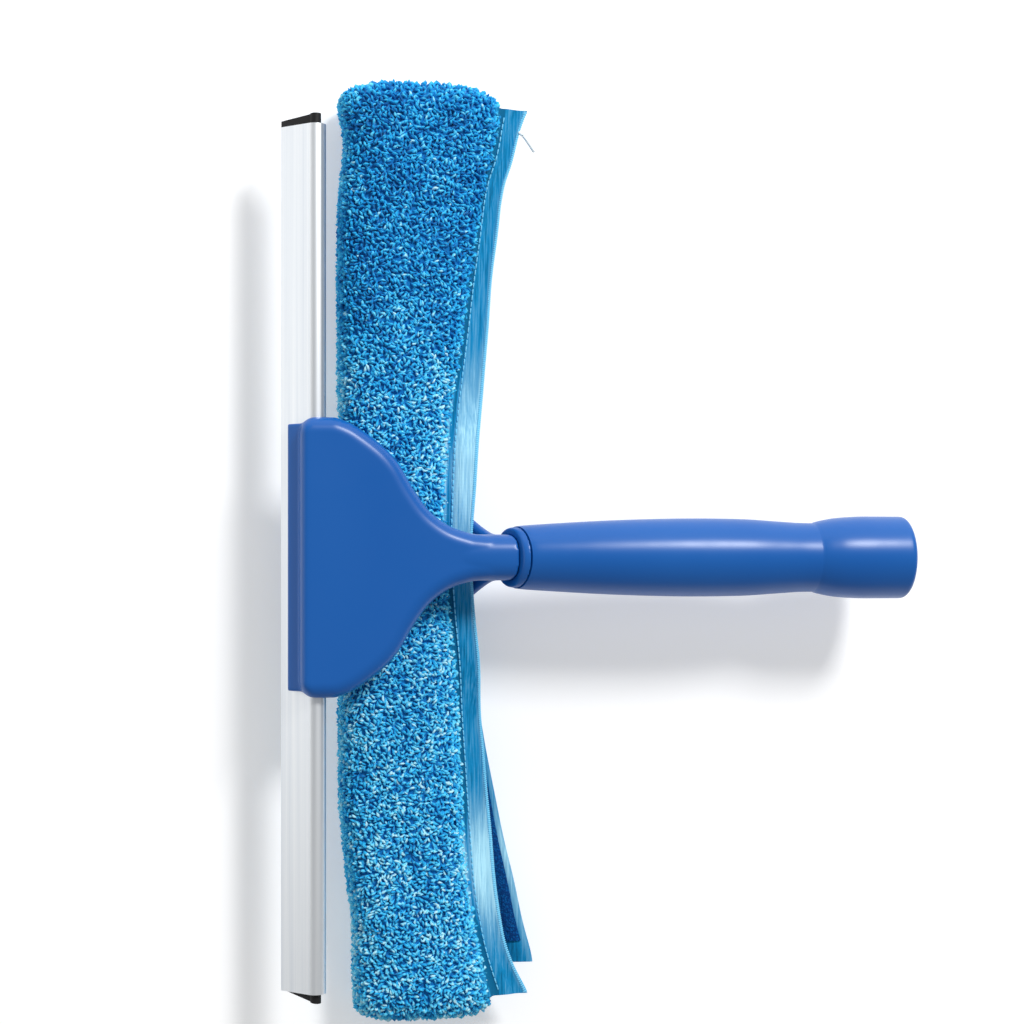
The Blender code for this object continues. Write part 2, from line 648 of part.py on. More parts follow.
def main():
    clear_scene()
    blue = material("blue_plastic", (0.028, 0.12, 0.42), 0.35)
    aluminium = material("aluminium", (0.78, 0.8, 0.82), 0.3, 1.0)
    rubber = material("black_rubber", (0.02, 0.02, 0.022), 0.6)
    steel = material("steel", (0.6, 0.6, 0.6), 0.3, 1.0)
    grey = material("grey_plastic", (0.25, 0.27, 0.3), 0.5)
    pile = material("blue_pile", (0.05, 0.28, 0.62), 0.95)
    border = material("blue_border", (0.08, 0.4, 0.7), 0.9)
    tape = material("fastener_tape", (0.01, 0.07, 0.2), 0.9)

    tool = empty("squeegee_frame", (CENTRE_X, 0.0, 0.0))
    bulb_x, bulb_z = channel_point(BULB_S, BULB_T)
    blade = empty("blade_frame", (bulb_x, 0.0, bulb_z), tool)
    scrubber = empty("scrubber_frame", (COLLAR_X[0], 0.0, AXIS_Z), tool)
    handle = empty("handle_frame", (MOUTH_X, 0.0, AXIS_Z), scrubber)
    tool.location = (0.0, 0.0, 0.0)

    make_head(blue, tool)
    make_rear_jaw(blue, tool)
    flange_bottom = HEAD_BOTTOM - GAP - FLANGE_THICKNESS
    for name, side in (("jaw_screw_lower", -1), ("jaw_screw_upper", 1)):
        seat = (JAW_SCREW[0], side * JAW_SCREW[1], flange_bottom - 0.1)
        make_screw(name, seat, (0, 0, 1), JAW_SCREW_LENGTH, steel, tool)
    make_channel(aluminium, tool)
    make_rubber(rubber, blade)

    make_arm(blue, scrubber)
    make_bar(grey, scrubber)
    bar_middle = (BAR_Z[0] + BAR_Z[1]) / 2
    for name, side in (("lower", -1), ("upper", 1)):
        make_bar_cap(f"bar_cap_{name}", side, grey, scrubber)
        seat = (ARM_FLANGE[1] + 0.1, side * BAR_SCREW_Y, bar_middle)
        make_screw(f"bar_screw_{name}", seat, (-1, 0, 0), BAR_SCREW_LENGTH, steel, scrubber)
        make_fastener(f"loop_strip_{name}", True, side, tape, scrubber)
        make_fastener(f"hook_strip_{name}", False, side, tape, scrubber)
    make_sleeve(pile, scrubber)
    make_hem("hem_front", True, border, scrubber)
    make_hem("hem_rear", False, border, scrubber)

    make_handle(blue, handle)
    make_liner(grey, handle)


main()
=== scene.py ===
"""Looks of the two-in-one window tool: moulded blue plastic, aluminium channel, rubber and microfibre sleeve.

Sizes are in millimetres in the tool's own coordinates: X is 0 near the channel's ridge and grows towards the
handle, Y runs along the blade and Z is 0 on the ground. place() turns them into the frame's metres.
"""

import math
import random

import bmesh
import bpy
import numpy as np
from mathutils import Matrix, Vector
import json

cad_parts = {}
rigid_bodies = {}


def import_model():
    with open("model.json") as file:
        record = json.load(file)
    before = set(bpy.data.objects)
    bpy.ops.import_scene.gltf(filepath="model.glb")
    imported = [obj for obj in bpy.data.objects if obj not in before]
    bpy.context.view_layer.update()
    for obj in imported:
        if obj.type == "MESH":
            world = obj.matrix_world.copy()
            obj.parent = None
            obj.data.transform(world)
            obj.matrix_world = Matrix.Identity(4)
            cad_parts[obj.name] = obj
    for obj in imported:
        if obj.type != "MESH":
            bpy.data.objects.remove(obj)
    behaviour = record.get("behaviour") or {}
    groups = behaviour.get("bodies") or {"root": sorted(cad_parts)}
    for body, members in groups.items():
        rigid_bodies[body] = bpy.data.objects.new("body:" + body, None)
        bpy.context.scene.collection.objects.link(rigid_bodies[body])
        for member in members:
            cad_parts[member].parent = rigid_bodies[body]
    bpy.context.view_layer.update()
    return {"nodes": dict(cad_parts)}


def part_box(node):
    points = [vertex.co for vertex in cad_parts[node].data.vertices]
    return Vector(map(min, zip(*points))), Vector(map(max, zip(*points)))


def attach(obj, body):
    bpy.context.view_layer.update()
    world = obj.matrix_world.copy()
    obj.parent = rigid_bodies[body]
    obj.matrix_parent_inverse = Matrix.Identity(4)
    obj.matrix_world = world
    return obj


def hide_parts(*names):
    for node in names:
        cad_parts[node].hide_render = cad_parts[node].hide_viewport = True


for old in list(bpy.data.objects):
    bpy.data.objects.remove(old)
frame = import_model()

MM = 0.001
END_X = 215.2                                      # the handle's pole end in tool coordinates
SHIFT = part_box("handle_tube")[1].x / MM - END_X    # from tool coordinates to the frame's X
AXIS_Z = 36.0                                      # height of the handle's axis

# Camera: looks down on the tool and is tipped a little towards the blade's side
VIEW_TILT = math.radians(11.0)
VIEW_FOCUS = 1925.0 / 1024.0                       # focal length in image widths
VIEW_PLACE = (-60.8, 0.0, 702.7)
VIEW_SHIFT = 0.0444
SENSOR = 36.0
FLOOR_HALF = 4000

# Head, as in the CAD model
HEAD_TOP = 44.0
HEAD_BOTTOM = 34.5
HEAD_LEFT = -6.3
HEAD_HALF_WIDTH = 48.4
HEAD_FILLET = 5.0
HEAD_LOWER_FILLET = 1.2
HEAD_CORNER = 5.6
SHOULDER = [
    (6.0, 48.4), (10.0, 47.0), (14.5, 44.6), (22.8, 38.4), (28.2, 32.4),
    (33.0, 24.2), (38.7, 16.4), (46.0, 11.0), (54.0, 8.3),
]
NECK_HALF_WIDTH = 7.9
NECK_BOTTOM = 29.2
NECK_START = 40.0
NECK_END = 67.2
NECK_POWER = 0.8                                   # below 1 makes the neck's section squarer than an ellipse
MOUTH_SLANT = 0.33
TENON_RADIUS = 7.5
TENON_FLAT = 6.3
TENON_END = 112.0
SHELL = 2.6
HOLLOW_X = (24.0, 42.0)
HOLLOW_FILLETS = (0.4, 1.2)
RIB_Y = (-20.0, -7.0, 7.0, 20.0)
RIB_THICKNESS = 1.8
JAW_HALF_WIDTH = 46.2
JAW_LIP = 3.2
JAW_SCREW = (13.5, 28.0)
SCREW_HOLE = 1.7
GAP = 0.3
CUT_X = (-20, 130)                                 # reach of the cutters, past the head on all sides
CUT_Y = 60
CUT_Z = (20, 50)
SEAT_REACH = 20
HEAD_EDGE_LEAN = 0.55                              # share of its fillets that the left edge gives back
HEAD_EDGE_WIDTH = 8

# Channel and rubber: s along the channel's face from its ridge, t into its depth
RIDGE = (-0.5, 39.5)
CHANNEL_ENDS = (-151.0, 150.0)
CHANNEL_WIDTH = 16.3
BULB = (3.3, 3.6)
BULB_RADIUS = 3.6
POCKET_RADIUS = 2.3
BEAD_RADIUS = 1.9
STRIP_HALF = 1.0
LIP_S = 18.4
REAR_LIP_S = 15.2
REAR_LIP_T = (4.9, 6.1)
SLOT_T = (2.3, 4.9)
FRONT_WALL = 1.2
GROOVE_S = (7.4, 13.6)
FLANK_FACING = (0.42, 0.56)                        # where the ridge's far flank starts to get painted shade and gets it fully
BLADE_ENDS = (-151.3, 152.9)
BLADE_SLANT = (3.2, 1.0)                           # how much longer the bead is than the lip at each end

# Arm
COLLAR_X = (67.6, 70.2)
COLLAR_RADIUS = 10.5
STEM_PATH = [(64.6, 26.6), (62.9, 22.9), (60.2, 18.3), (57.0, 15.0), (53.0, 14.0)]
STEM_HALF_WIDTHS = [8.2, 9.0, 11.5, 15.0, 20.0]
STEM_THICKNESS = 4.4
ARM_FLANGE = (50.3, 53.6, 34.0, 9.6, 18.4)
BAR_SCREW = (28.0, 14.0)

# Handle
MOUTH_X = 70.5
MOUTH_SLANT_LENGTH = 24.0                          # the slant of the mouth fades out over this length
HANDLE_STATIONS = [
    (70.5, 11.0), (74.0, 11.4), (86.0, 12.2), (106.0, 13.3), (130.0, 14.0),
    (152.0, 13.9), (166.0, 13.1), (174.0, 12.6), (180.0, 12.5),
]
FLARE_STATIONS = [
    (181.0, 12.9), (184.0, 13.6), (189.0, 14.4), (197.0, 14.95), (205.0, 15.0), (213.0, 15.0),
]
FLARE_RADIUS = 15.0
RIM_FILLET = 2.0
BORE_CLEARANCE = 0.35
SOCKET_RADIUS = 12.0
SOCKET_START = 184.0
HANDLE_HOLLOW = [(184.0, 10.4), (176.0, 10.4), (166.0, 11.0), (130.0, 11.9), (118.0, 11.5)]
LINER_X = (184.4, 213.6)
LINER_RADIUS = 11.7
THREAD_RADIUS = 9.9
THREAD_DEPTH = 0.9
THREAD_PITCH = 4.0

# Sleeve: its edges as (Y, X) along the bar, and its closed ends
SLEEVE_SHIFT = 2.5
SLEEVE_END = 167.2
SLEEVE_LEFT = [
    (-172.0, 16.6), (-132.0, 16.2), (-117.0, 14.4), (-100.0, 12.7), (-60.0, 11.6),
    (0.0, 11.3), (110.0, 11.2), (133.0, 12.0), (149.0, 12.6), (163.0, 10.6), (172.0, 10.4),
]
SLEEVE_RIGHT = [
    (-172.0, 65.5), (-156.0, 63.0), (-134.0, 58.4), (-120.0, 55.8), (-100.0, 54.2), (-48.0, 51.4),
    (-14.0, 48.6), (10.0, 47.4), (44.0, 48.4), (80.0, 53.6), (112.0, 58.4), (132.0, 61.2), (146.0, 65.4),
    (160.0, 67.0), (172.0, 66.4),
]
HEM_FRONT = [
    (-160.0, 78.8), (-156.0, 77.4), (-146.0, 72.4), (-133.0, 68.4), (-105.0, 65.3), (-48.0, 60.1),
    (-12.0, 57.2), (10.0, 57.4), (43.0, 60.1), (113.0, 66.3), (132.0, 68.6), (143.0, 71.8), (155.0, 74.9),
    (164.0, 78.6),
]
HEM_REAR = [
    (-150.0, 81.4), (-144.0, 80.6), (-128.0, 76.2), (-106.0, 71.7), (-80.0, 66.0), (-48.0, 60.2), (0.0, 56.8),
    (48.0, 59.6), (113.0, 65.2), (140.0, 69.5), (161.0, 75.5),
]
HEM_ENDS = {True: (-158.0, 162.0), False: (-148.0, 160.0)}    # True is the front border
HEM_Z = {True: (21.4, 17.2), False: (6.6, 10.8)}              # at the seam and at the outer edge
HEM_SPREAD = 3.2                                              # how far each border gives way to the arm
HEM_OVERLAP = 3.0
HEM_HALF_THICKNESS = 0.75
SEAM_SHARE = 0.3                                              # shares of the border's width
FOLD_SHARE = 0.6
STITCH_SHARE = 0.4
OVERLOCK_SHARE = 0.92
STITCH_PITCH = 2.3
STITCH_LENGTH = 2.0
OVERLOCK_PITCH = 0.72
OVERLOCK_LEAN = 0.5
LOOSE_THREAD = [(74.6, 154.2, 18.2), (76.6, 152.4, 18.8), (78.6, 149.8, 18.6), (80.6, 147.2, 18.0)]
LOOSE_THREAD_RADIUS = 0.62
TAPE_Y = (62.0, 140.0)
TAPE_SHARE = (0.4, 0.88)
TAPE_THICKNESS = 0.9
SLEEVE_Z = (1.6, 25.8)
SLEEVE_MIDDLE = (SLEEVE_Z[0] + SLEEVE_Z[1]) / 2
SECTION_POWER = 0.6
END_ZONE = 0.92
END_HEIGHT = 0.14                                  # share of the height that is left at the closed ends
END_DROP_TOP, END_DROP_BOTTOM = 4.6, 2.6
END_TAPER_TOP, END_TAPER_BOTTOM = 0.07, 0.02
BACKING_AROUND, BACKING_ALONG = 220, 420
SLIT_X = 49.4
SLIT_HALF = 5.8
SLIT_END = 151.0
LOOP_SPACING = 1.36
LOOP_RADIUS = 0.56
LOOP_SPAN = 1.8
LOOP_HEIGHT = 1.9
LOOP_ROW = 0.87                                    # distance of two rows, in spacings
LOOP_SINK = 0.5                                    # how deep a loop's feet go into the cloth
LOOP_SIDES, LOOP_STATIONS = 3, 5
LOOP_PAINTED_SHADE = (-0.4, -0.02, 0.14, -0.02, -0.4)      # tone along a loop: painted shade at its feet, paler towards its top
LAST_V = 0.9995


# ---------------------------------------------------------------- small tools

def place(points):
    """Tool coordinates in millimetres as metres of the frame."""
    moved = np.array(points, float).reshape(-1, 3)
    moved[:, 0] += SHIFT
    return moved * MM


def srgb(red, green, blue):
    """A colour from 0 to 255 as the linear values that a shader takes."""
    linear = []
    for value in (red, green, blue):
        value /= 255.0
        linear.append(value / 12.92 if value <= 0.04045 else ((value + 0.055) / 1.055) ** 2.4)
    return (*linear, 1.0)


def smooth_step(value):
    """0 below 0, 1 above 1 and a soft rise between."""
    value = np.clip(value, 0.0, 1.0)
    return value * value * (3 - 2 * value)


def arc(centre, radius, start, end, steps):
    """Points of an arc between two angles in degrees."""
    points = []
    for i in range(steps + 1):
        angle = math.radians(start + (end - start) * i / steps)
        points.append((centre[0] + radius * math.cos(angle), centre[1] + radius * math.sin(angle)))
    return points


def curve_through(points, steps):
    """A Catmull-Rom curve through the points."""
    ends = [points[0]] + list(points) + [points[-1]]
    made = []
    for a, b, c, d in zip(ends, ends[1:], ends[2:], ends[3:]):
        for i in range(steps):
            t = i / steps
            made.append(tuple(
                0.5 * (2 * q + (r - p) * t + (2 * p - 5 * q + 4 * r - s) * t ** 2
                       + (3 * q - p - 3 * r + s) * t ** 3)
                for p, q, r, s in zip(a, b, c, d)
            ))
    return made + [tuple(points[-1])]


def inset(outline, distance):
    """A counter-clockwise outline moved inwards."""
    made = []
    for i, point in enumerate(outline):
        before = (Vector(point) - Vector(outline[i - 1])).normalized()
        after = (Vector(outline[(i + 1) % len(outline)]) - Vector(point)).normalized()
        normal = Vector((-before.y - after.y, before.x + after.x)).normalized()
        stretch = 1 / max(0.5, normal.dot(Vector((-before.y, before.x))))
        made.append(tuple(Vector(point) + normal * distance * stretch))
    return made


def piece(name, points, faces, surface, crease=32):
    """A mesh object from tool coordinates, shaded smooth except at its creases."""
    mesh = bpy.data.meshes.new(name)
    mesh.from_pydata(place(points).tolist(), [], faces)
    shape = bmesh.new()
    shape.from_mesh(mesh)
    bmesh.ops.recalc_face_normals(shape, faces=shape.faces)
    shape.to_mesh(mesh)
    shape.free()
    mesh.shade_smooth()
    mesh.set_sharp_from_angle(angle=math.radians(crease))
    made = bpy.data.objects.new(name, mesh)
    bpy.context.collection.objects.link(made)
    if surface:
        mesh.materials.append(surface)
    return made


def loft(name, rings, surface, wrap=False, crease=32):
    """A closed body through rings of points, capped at its ends or wrapped round like a tube."""
    rows, count = len(rings), len(rings[0])
    faces = []
    for row in range(rows if wrap else rows - 1):
        a = row * count
        b = ((row + 1) % rows) * count
        for i in range(count):
            j = (i + 1) % count
            faces.append((a + i, a + j, b + j, b + i))
    if not wrap:
        faces.append(tuple(range(count)))
        faces.append(tuple(range((rows - 1) * count, rows * count)))
    points = [p for ring in rings for p in ring]
    return piece(name, points, faces, surface, crease)


def block(name, low, high):
    """A box between two corners, for cutting and for the floor."""
    (x0, y0, z0), (x1, y1, z1) = low, high
    ring = [(x0, y0), (x1, y0), (x1, y1), (x0, y1)]
    return loft(name, [[(x, y, z) for x, y in ring] for z in (z0, z1)], None)


def bake_modifiers(obj):
    """Replaces the object's mesh by what its modifiers make of it."""
    graph = bpy.context.evaluated_depsgraph_get()
    made = bpy.data.meshes.new_from_object(obj.evaluated_get(graph))
    obj.modifiers.clear()
    obj.data = made


def combine(target, tool, operation):
    """Joins or cuts the target by a tool, which is then removed."""
    step = target.modifiers.new("step", "BOOLEAN")
    step.object = tool
    step.operation = operation
    step.solver = "EXACT"
    bake_modifiers(target)
    bpy.data.objects.remove(tool)


def reshape(obj, voxel, smoothing, crease, surface):
    """Turns a body joined from parts into one even skin with soft joins."""
    step = obj.modifiers.new("skin", "REMESH")
    step.mode = "VOXEL"
    step.voxel_size = voxel * MM
    step.adaptivity = 0.0
    soften = obj.modifiers.new("soften", "SMOOTH")
    soften.factor = 0.5
    soften.iterations = smoothing
    bake_modifiers(obj)
    obj.data.shade_smooth()
    if crease:
        obj.data.set_sharp_from_angle(angle=math.radians(crease))
    obj.data.materials.clear()
    obj.data.materials.append(surface)


def finish_piece(obj, body, slot, *nodes):
    """Ties a piece to its body and hides the CAD nodes that it stands in for; slot is not used."""
    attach(obj, body)
    if nodes:
        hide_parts(*nodes)
    return obj


# ---------------------------------------------------------------- materials

class Surface:
    """A Principled material with short ways to add nodes."""

    def __init__(self, name, colour, roughness, metallic=0.0):
        self.material = bpy.data.materials.new(name)
        self.material.use_nodes = True
        self.nodes = self.material.node_tree.nodes
        self.links = self.material.node_tree.links
        self.shader = self.nodes["Principled BSDF"]
        self.shader.inputs["Base Color"].default_value = colour
        self.shader.inputs["Roughness"].default_value = roughness
        self.shader.inputs["Metallic"].default_value = metallic

    def add(self, kind, **values):
        node = self.nodes.new(kind)
        for key, value in values.items():
            if key in node.inputs:
                node.inputs[key].default_value = value
            else:
                setattr(node, key, value)
        return node

    def position(self, scale=(1.0, 1.0, 1.0)):
        """Object coordinates, stretched."""
        source = self.add("ShaderNodeTexCoord")
        mapping = self.add("ShaderNodeMapping", Scale=scale)
        self.links.new(source.outputs["Object"], mapping.inputs["Vector"])
        return mapping.outputs["Vector"]

    def noise(self, scale, detail=3.0, stretch=(1.0, 1.0, 1.0), roughness=0.55):
        node = self.add("ShaderNodeTexNoise", Scale=scale, Detail=detail, Roughness=roughness)
        self.links.new(self.position(stretch), node.inputs["Vector"])
        return node.outputs["Fac"]

    def ramp(self, source, stops):
        node = self.nodes.new("ShaderNodeValToRGB")
        band = node.color_ramp
        while len(band.elements) < len(stops):
            band.elements.new(0.5)
        for element, (at, colour) in zip(band.elements, stops):
            element.position = at
            element.color = colour
        self.links.new(source, node.inputs["Fac"])
        return node.outputs["Color"]

    def scaled(self, source, low, high):
        node = self.add("ShaderNodeMapRange")
        node.inputs["To Min"].default_value = low
        node.inputs["To Max"].default_value = high
        self.links.new(source, node.inputs["Value"])
        return node.outputs["Result"]

    def bump(self, source, strength, distance, under=None):
        node = self.add("ShaderNodeBump", Strength=strength, Distance=distance)
        self.links.new(source, node.inputs["Height"])
        if under:
            self.links.new(under, node.inputs["Normal"])
        return node.outputs["Normal"]

    def connect(self, source, name):
        self.links.new(source, self.shader.inputs[name])


def moulded_plastic(name, dark, light, roughness, grain):
    """Injection-moulded plastic: a fine matt grain, faint flow marks and slightly uneven gloss."""
    made = Surface(name, light, roughness)
    made.shader.inputs["IOR"].default_value = 1.49
    made.shader.inputs["Specular IOR Level"].default_value = 0.34
    flow = made.noise(14.0, 2.0, (1.0, 0.35, 1.0))
    made.connect(made.ramp(flow, [(0.3, dark), (0.7, light)]), "Base Color")
    made.connect(made.scaled(made.noise(60.0, 4.0), roughness - 0.05, roughness + 0.07), "Roughness")
    fine = made.bump(made.noise(2600.0, 2.0), grain, 0.00006)
    made.connect(made.bump(made.noise(45.0, 2.0), 0.05, 0.0008, fine), "Normal")
    return made.material


def extruded_aluminium():
    made = Surface("aluminium", srgb(236, 239, 243), 0.4, 0.86)
    lines = made.noise(1.0, 6.0, (2600.0, 9.0, 2600.0), 0.7)
    made.connect(made.scaled(lines, 0.34, 0.52), "Roughness")
    tone = made.noise(1.0, 3.0, (700.0, 4.0, 700.0))
    # Painted shade: the ridge's far flank is darkened by taking the channel's flank attribute off the tone
    # noise
    flank_shade = made.add("ShaderNodeAttribute", attribute_name="flank_shade")
    mix = made.add("ShaderNodeMath", operation="SUBTRACT")
    made.links.new(tone, mix.inputs[0])
    made.links.new(flank_shade.outputs["Fac"], mix.inputs[1])
    stops = [(0.0, srgb(172, 182, 193)), (0.3, srgb(228, 233, 238)), (0.7, srgb(243, 246, 248))]
    made.connect(made.ramp(mix.outputs[0], stops), "Base Color")
    made.connect(made.bump(lines, 0.08, 0.00004), "Normal")
    return made.material


def black_rubber():
    made = Surface("black_rubber", srgb(20, 20, 22), 0.6)
    made.shader.inputs["Specular IOR Level"].default_value = 0.3
    bloom = made.noise(90.0, 5.0)
    made.connect(made.ramp(bloom, [(0.35, srgb(10, 10, 12)), (0.75, srgb(26, 26, 28))]), "Base Color")
    made.connect(made.scaled(bloom, 0.45, 0.7), "Roughness")
    made.connect(made.bump(made.noise(1800.0, 3.0), 0.2, 0.00005), "Normal")
    return made.material


def plated_steel():
    made = Surface("steel", srgb(196, 196, 192), 0.28, 1.0)
    made.connect(made.scaled(made.noise(700.0, 4.0), 0.2, 0.42), "Roughness")
    made.connect(made.bump(made.noise(1500.0, 2.0), 0.1, 0.00003), "Normal")
    return made.material


def pile_yarn():
    """Looped microfibre: each loop has its own blue, with painted shade at its root."""
    made = Surface("blue_pile", srgb(50, 140, 200), 0.85)
    made.shader.inputs["Specular IOR Level"].default_value = 0.2
    made.shader.inputs["Sheen Weight"].default_value = 0.3
    made.shader.inputs["Sheen Roughness"].default_value = 0.45
    made.shader.inputs["Sheen Tint"].default_value = srgb(160, 222, 255)
    tone = made.add("ShaderNodeAttribute", attribute_name="tone")
    colour = made.ramp(tone.outputs["Fac"], [
        (0.0, srgb(4, 98, 170)), (0.3, srgb(14, 142, 212)), (0.6, srgb(46, 188, 242)),
        (0.85, srgb(110, 222, 255)), (1.0, srgb(190, 242, 255)),
    ])
    made.connect(colour, "Base Color")
    made.connect(made.bump(made.noise(3500.0, 2.0), 0.3, 0.0001), "Normal")
    return made.material


def weave(made, pitch):
    """The relief of crossed yarns, with a pitch in metres."""
    waves = []
    for direction in ("X", "Y"):
        wave = made.add("ShaderNodeTexWave", wave_type="BANDS", bands_direction=direction,
                        Scale=math.pi / (10 * pitch), Distortion=1.5)
        made.links.new(made.position(), wave.inputs["Vector"])
        waves.append(wave)
    both = made.add("ShaderNodeMath", operation="MULTIPLY")
    made.links.new(waves[0].outputs["Fac"], both.inputs[0])
    made.links.new(waves[1].outputs["Fac"], both.inputs[1])
    return both.outputs[0]


def woven_border(dark, light):
    """Trim ribbon: fine weave and creases along its length, paler where its tone carries painted light,
    darkest where it carries painted shade.
    """
    made = Surface("blue_border", light, 0.8)
    made.shader.inputs["Specular IOR Level"].default_value = 0.15
    made.shader.inputs["Sheen Weight"].default_value = 0.12
    made.shader.inputs["Sheen Roughness"].default_value = 0.4
    tone = made.add("ShaderNodeAttribute", attribute_name="tone")
    streaks = made.scaled(made.noise(1.0, 5.0, (1500.0, 55.0, 900.0), 0.65), -0.55, 0.55)
    mix = made.add("ShaderNodeMath", operation="ADD")
    made.links.new(tone.outputs["Fac"], mix.inputs[0])
    made.links.new(streaks, mix.inputs[1])
    middle = tuple(0.72 * a + 0.28 * b for a, b in zip(dark, light))
    # The darkest stop is painted shade for the seam's valley
    seam_shade = tuple(0.55 * part for part in dark)
    stops = [(0.0, seam_shade), (0.16, dark), (0.5, middle), (0.95, light)]
    made.connect(made.ramp(mix.outputs[0], stops), "Base Color")
    creases = made.bump(made.noise(1.0, 4.0, (1100.0, 40.0, 700.0)), 0.5, 0.0004)
    made.connect(made.bump(weave(made, 0.0005), 0.35, 0.00012, creases), "Normal")
    return made.material


def fastener_tape(dark, light):
    """Hook and loop tape: a field of tiny stiff hooks on a woven ground."""
    made = Surface("fastener_tape", light, 0.9)
    made.shader.inputs["Specular IOR Level"].default_value = 0.15
    field = made.add("ShaderNodeTexVoronoi", Scale=1400.0)
    made.links.new(made.position(), field.inputs["Vector"])
    made.connect(made.ramp(field.outputs["Distance"], [(0.1, light), (0.6, dark)]), "Base Color")
    made.connect(made.bump(field.outputs["Distance"], 0.8, 0.0004), "Normal")
    return made.material


def sewing_thread(name, colour):
    made = Surface(name, colour, 0.7)
    twist = made.add("ShaderNodeTexWave", wave_type="BANDS", bands_direction="DIAGONAL", Scale=900.0)
    made.links.new(made.position(), twist.inputs["Vector"])
    made.connect(made.bump(twist.outputs["Fac"], 0.5, 0.0001), "Normal")
    return made.material


# ---------------------------------------------------------------- squeegee

def channel_point(s, t):
    """A place in the channel's section, which leans at 45 degrees, as X and Z."""
    lean = math.sqrt(0.5)
    return RIDGE[0] - s * lean + t * lean, RIDGE[1] - s * lean - t * lean


def with_values(obj, name, values):
    """Gives each vertex a value that its material reads."""
    layer = obj.data.attributes.new(name, "FLOAT", "POINT")
    layer.data.foreach_set("value", np.asarray(values, np.float32).reshape(-1))
    return obj


def extrude_y(name, section, y0, y1, surface, crease=32):
    """A section of X and Z drawn out along Y."""
    return loft(name, [[(x, y, z) for x, z in section] for y in (y0, y1)], surface, crease=crease)


def rounded_section(x0, x1, z0, z1, radius, steps=6):
    """A rectangle with round corners."""
    corners = [(x1 - radius, z1 - radius, 0), (x0 + radius, z1 - radius, 90),
               (x0 + radius, z0 + radius, 180), (x1 - radius, z0 + radius, 270)]
    section = []
    for x, z, angle in corners:
        section += arc((x, z), radius, angle, angle + 90, steps)
    return section


def round_ring(x, radius, count, flat=None, slant=0.0):
    """A ring round the handle's axis, with an optional flat above and below, leaning by slant."""
    ring = []
    for i in range(count):
        angle = 2 * math.pi * (i + 0.5) / count
        y = radius * math.cos(angle)
        z = radius * math.sin(angle)
        if flat:
            z = max(-flat, min(flat, z))
        ring.append((x + slant * z, y, AXIS_Z + z))
    return ring


def head_outline():
    """The head from above, as a fan with rounded corners."""
    corner = (HEAD_LEFT + HEAD_CORNER, HEAD_HALF_WIDTH - HEAD_CORNER)
    shoulder = curve_through(SHOULDER, 8)
    half = [(NECK_END - 4.5, NECK_HALF_WIDTH - 0.4)] + shoulder[::-1] + arc(corner, HEAD_CORNER, 90, 180, 12)
    return half + [(x, -y) for x, y in half[::-1]]


def head_slab(name, outline, low, high, fillets, steps):
    """A slab with rounded lower and upper edges; its left edge keeps more of its width."""
    below, above = [], []
    for i in range(steps + 1):
        turn = math.radians(90 * i / steps)
        below.append((fillets[0] * (1 - math.sin(turn)), low + fillets[0] * (1 - math.cos(turn))))
        above.append((fillets[1] * (1 - math.cos(turn)), high - fillets[1] * (1 - math.sin(turn))))
    rings = []
    for back, z in below + above:
        ring = []
        for x, y in inset(outline, back):
            near = 1 - smooth_step((x - HEAD_LEFT - back) / HEAD_EDGE_WIDTH)
            ring.append((x - HEAD_EDGE_LEAN * back * near, y, z))
        rings.append(ring)
    return loft(name, rings, None)


def neck_loft():
    """The neck, which grows out of the head's slab and ends in a slanted mouth."""
    rings = []
    steps, count = 24, 64
    for i in range(steps + 1):
        part = i / steps
        grow = math.sin(math.pi / 2 * min(1.0, part * 1.6))
        top = HEAD_TOP - 1.0 + 1.3 * grow
        bottom = HEAD_BOTTOM + 2.0 + (NECK_BOTTOM - HEAD_BOTTOM - 2.0) * grow
        ring = []
        for j in range(count):
            angle = 2 * math.pi * (j + 0.5) / count
            y = math.copysign(abs(math.cos(angle)) ** NECK_POWER, math.cos(angle))
            z = math.copysign(abs(math.sin(angle)) ** NECK_POWER, math.sin(angle))
            level = (top + bottom) / 2 + (top - bottom) / 2 * z
            lean = MOUTH_SLANT * (level - AXIS_Z) * max(0.0, part - 0.5) * 2
            x = NECK_START + (NECK_END - NECK_START) * part + lean
            ring.append((x, (NECK_HALF_WIDTH - 1.0 + 1.2 * grow) * y, level))
        rings.append(ring)
    return loft("neck", rings, None)


def channel_seat():
    """The room that the channel takes in the head's jaw, with a little play."""
    past = CHANNEL_WIDTH + SEAT_REACH
    bulb = arc(BULB, BULB_RADIUS + GAP, 270, 60, 24)
    tail = [(REAR_LIP_S + GAP, REAR_LIP_T[1] + GAP), (past, REAR_LIP_T[1] + GAP)]
    outline = [(past, -GAP)] + bulb + tail
    return extrude_y("seat", [channel_point(s, t) for s, t in outline], -CUT_Y, CUT_Y, None)


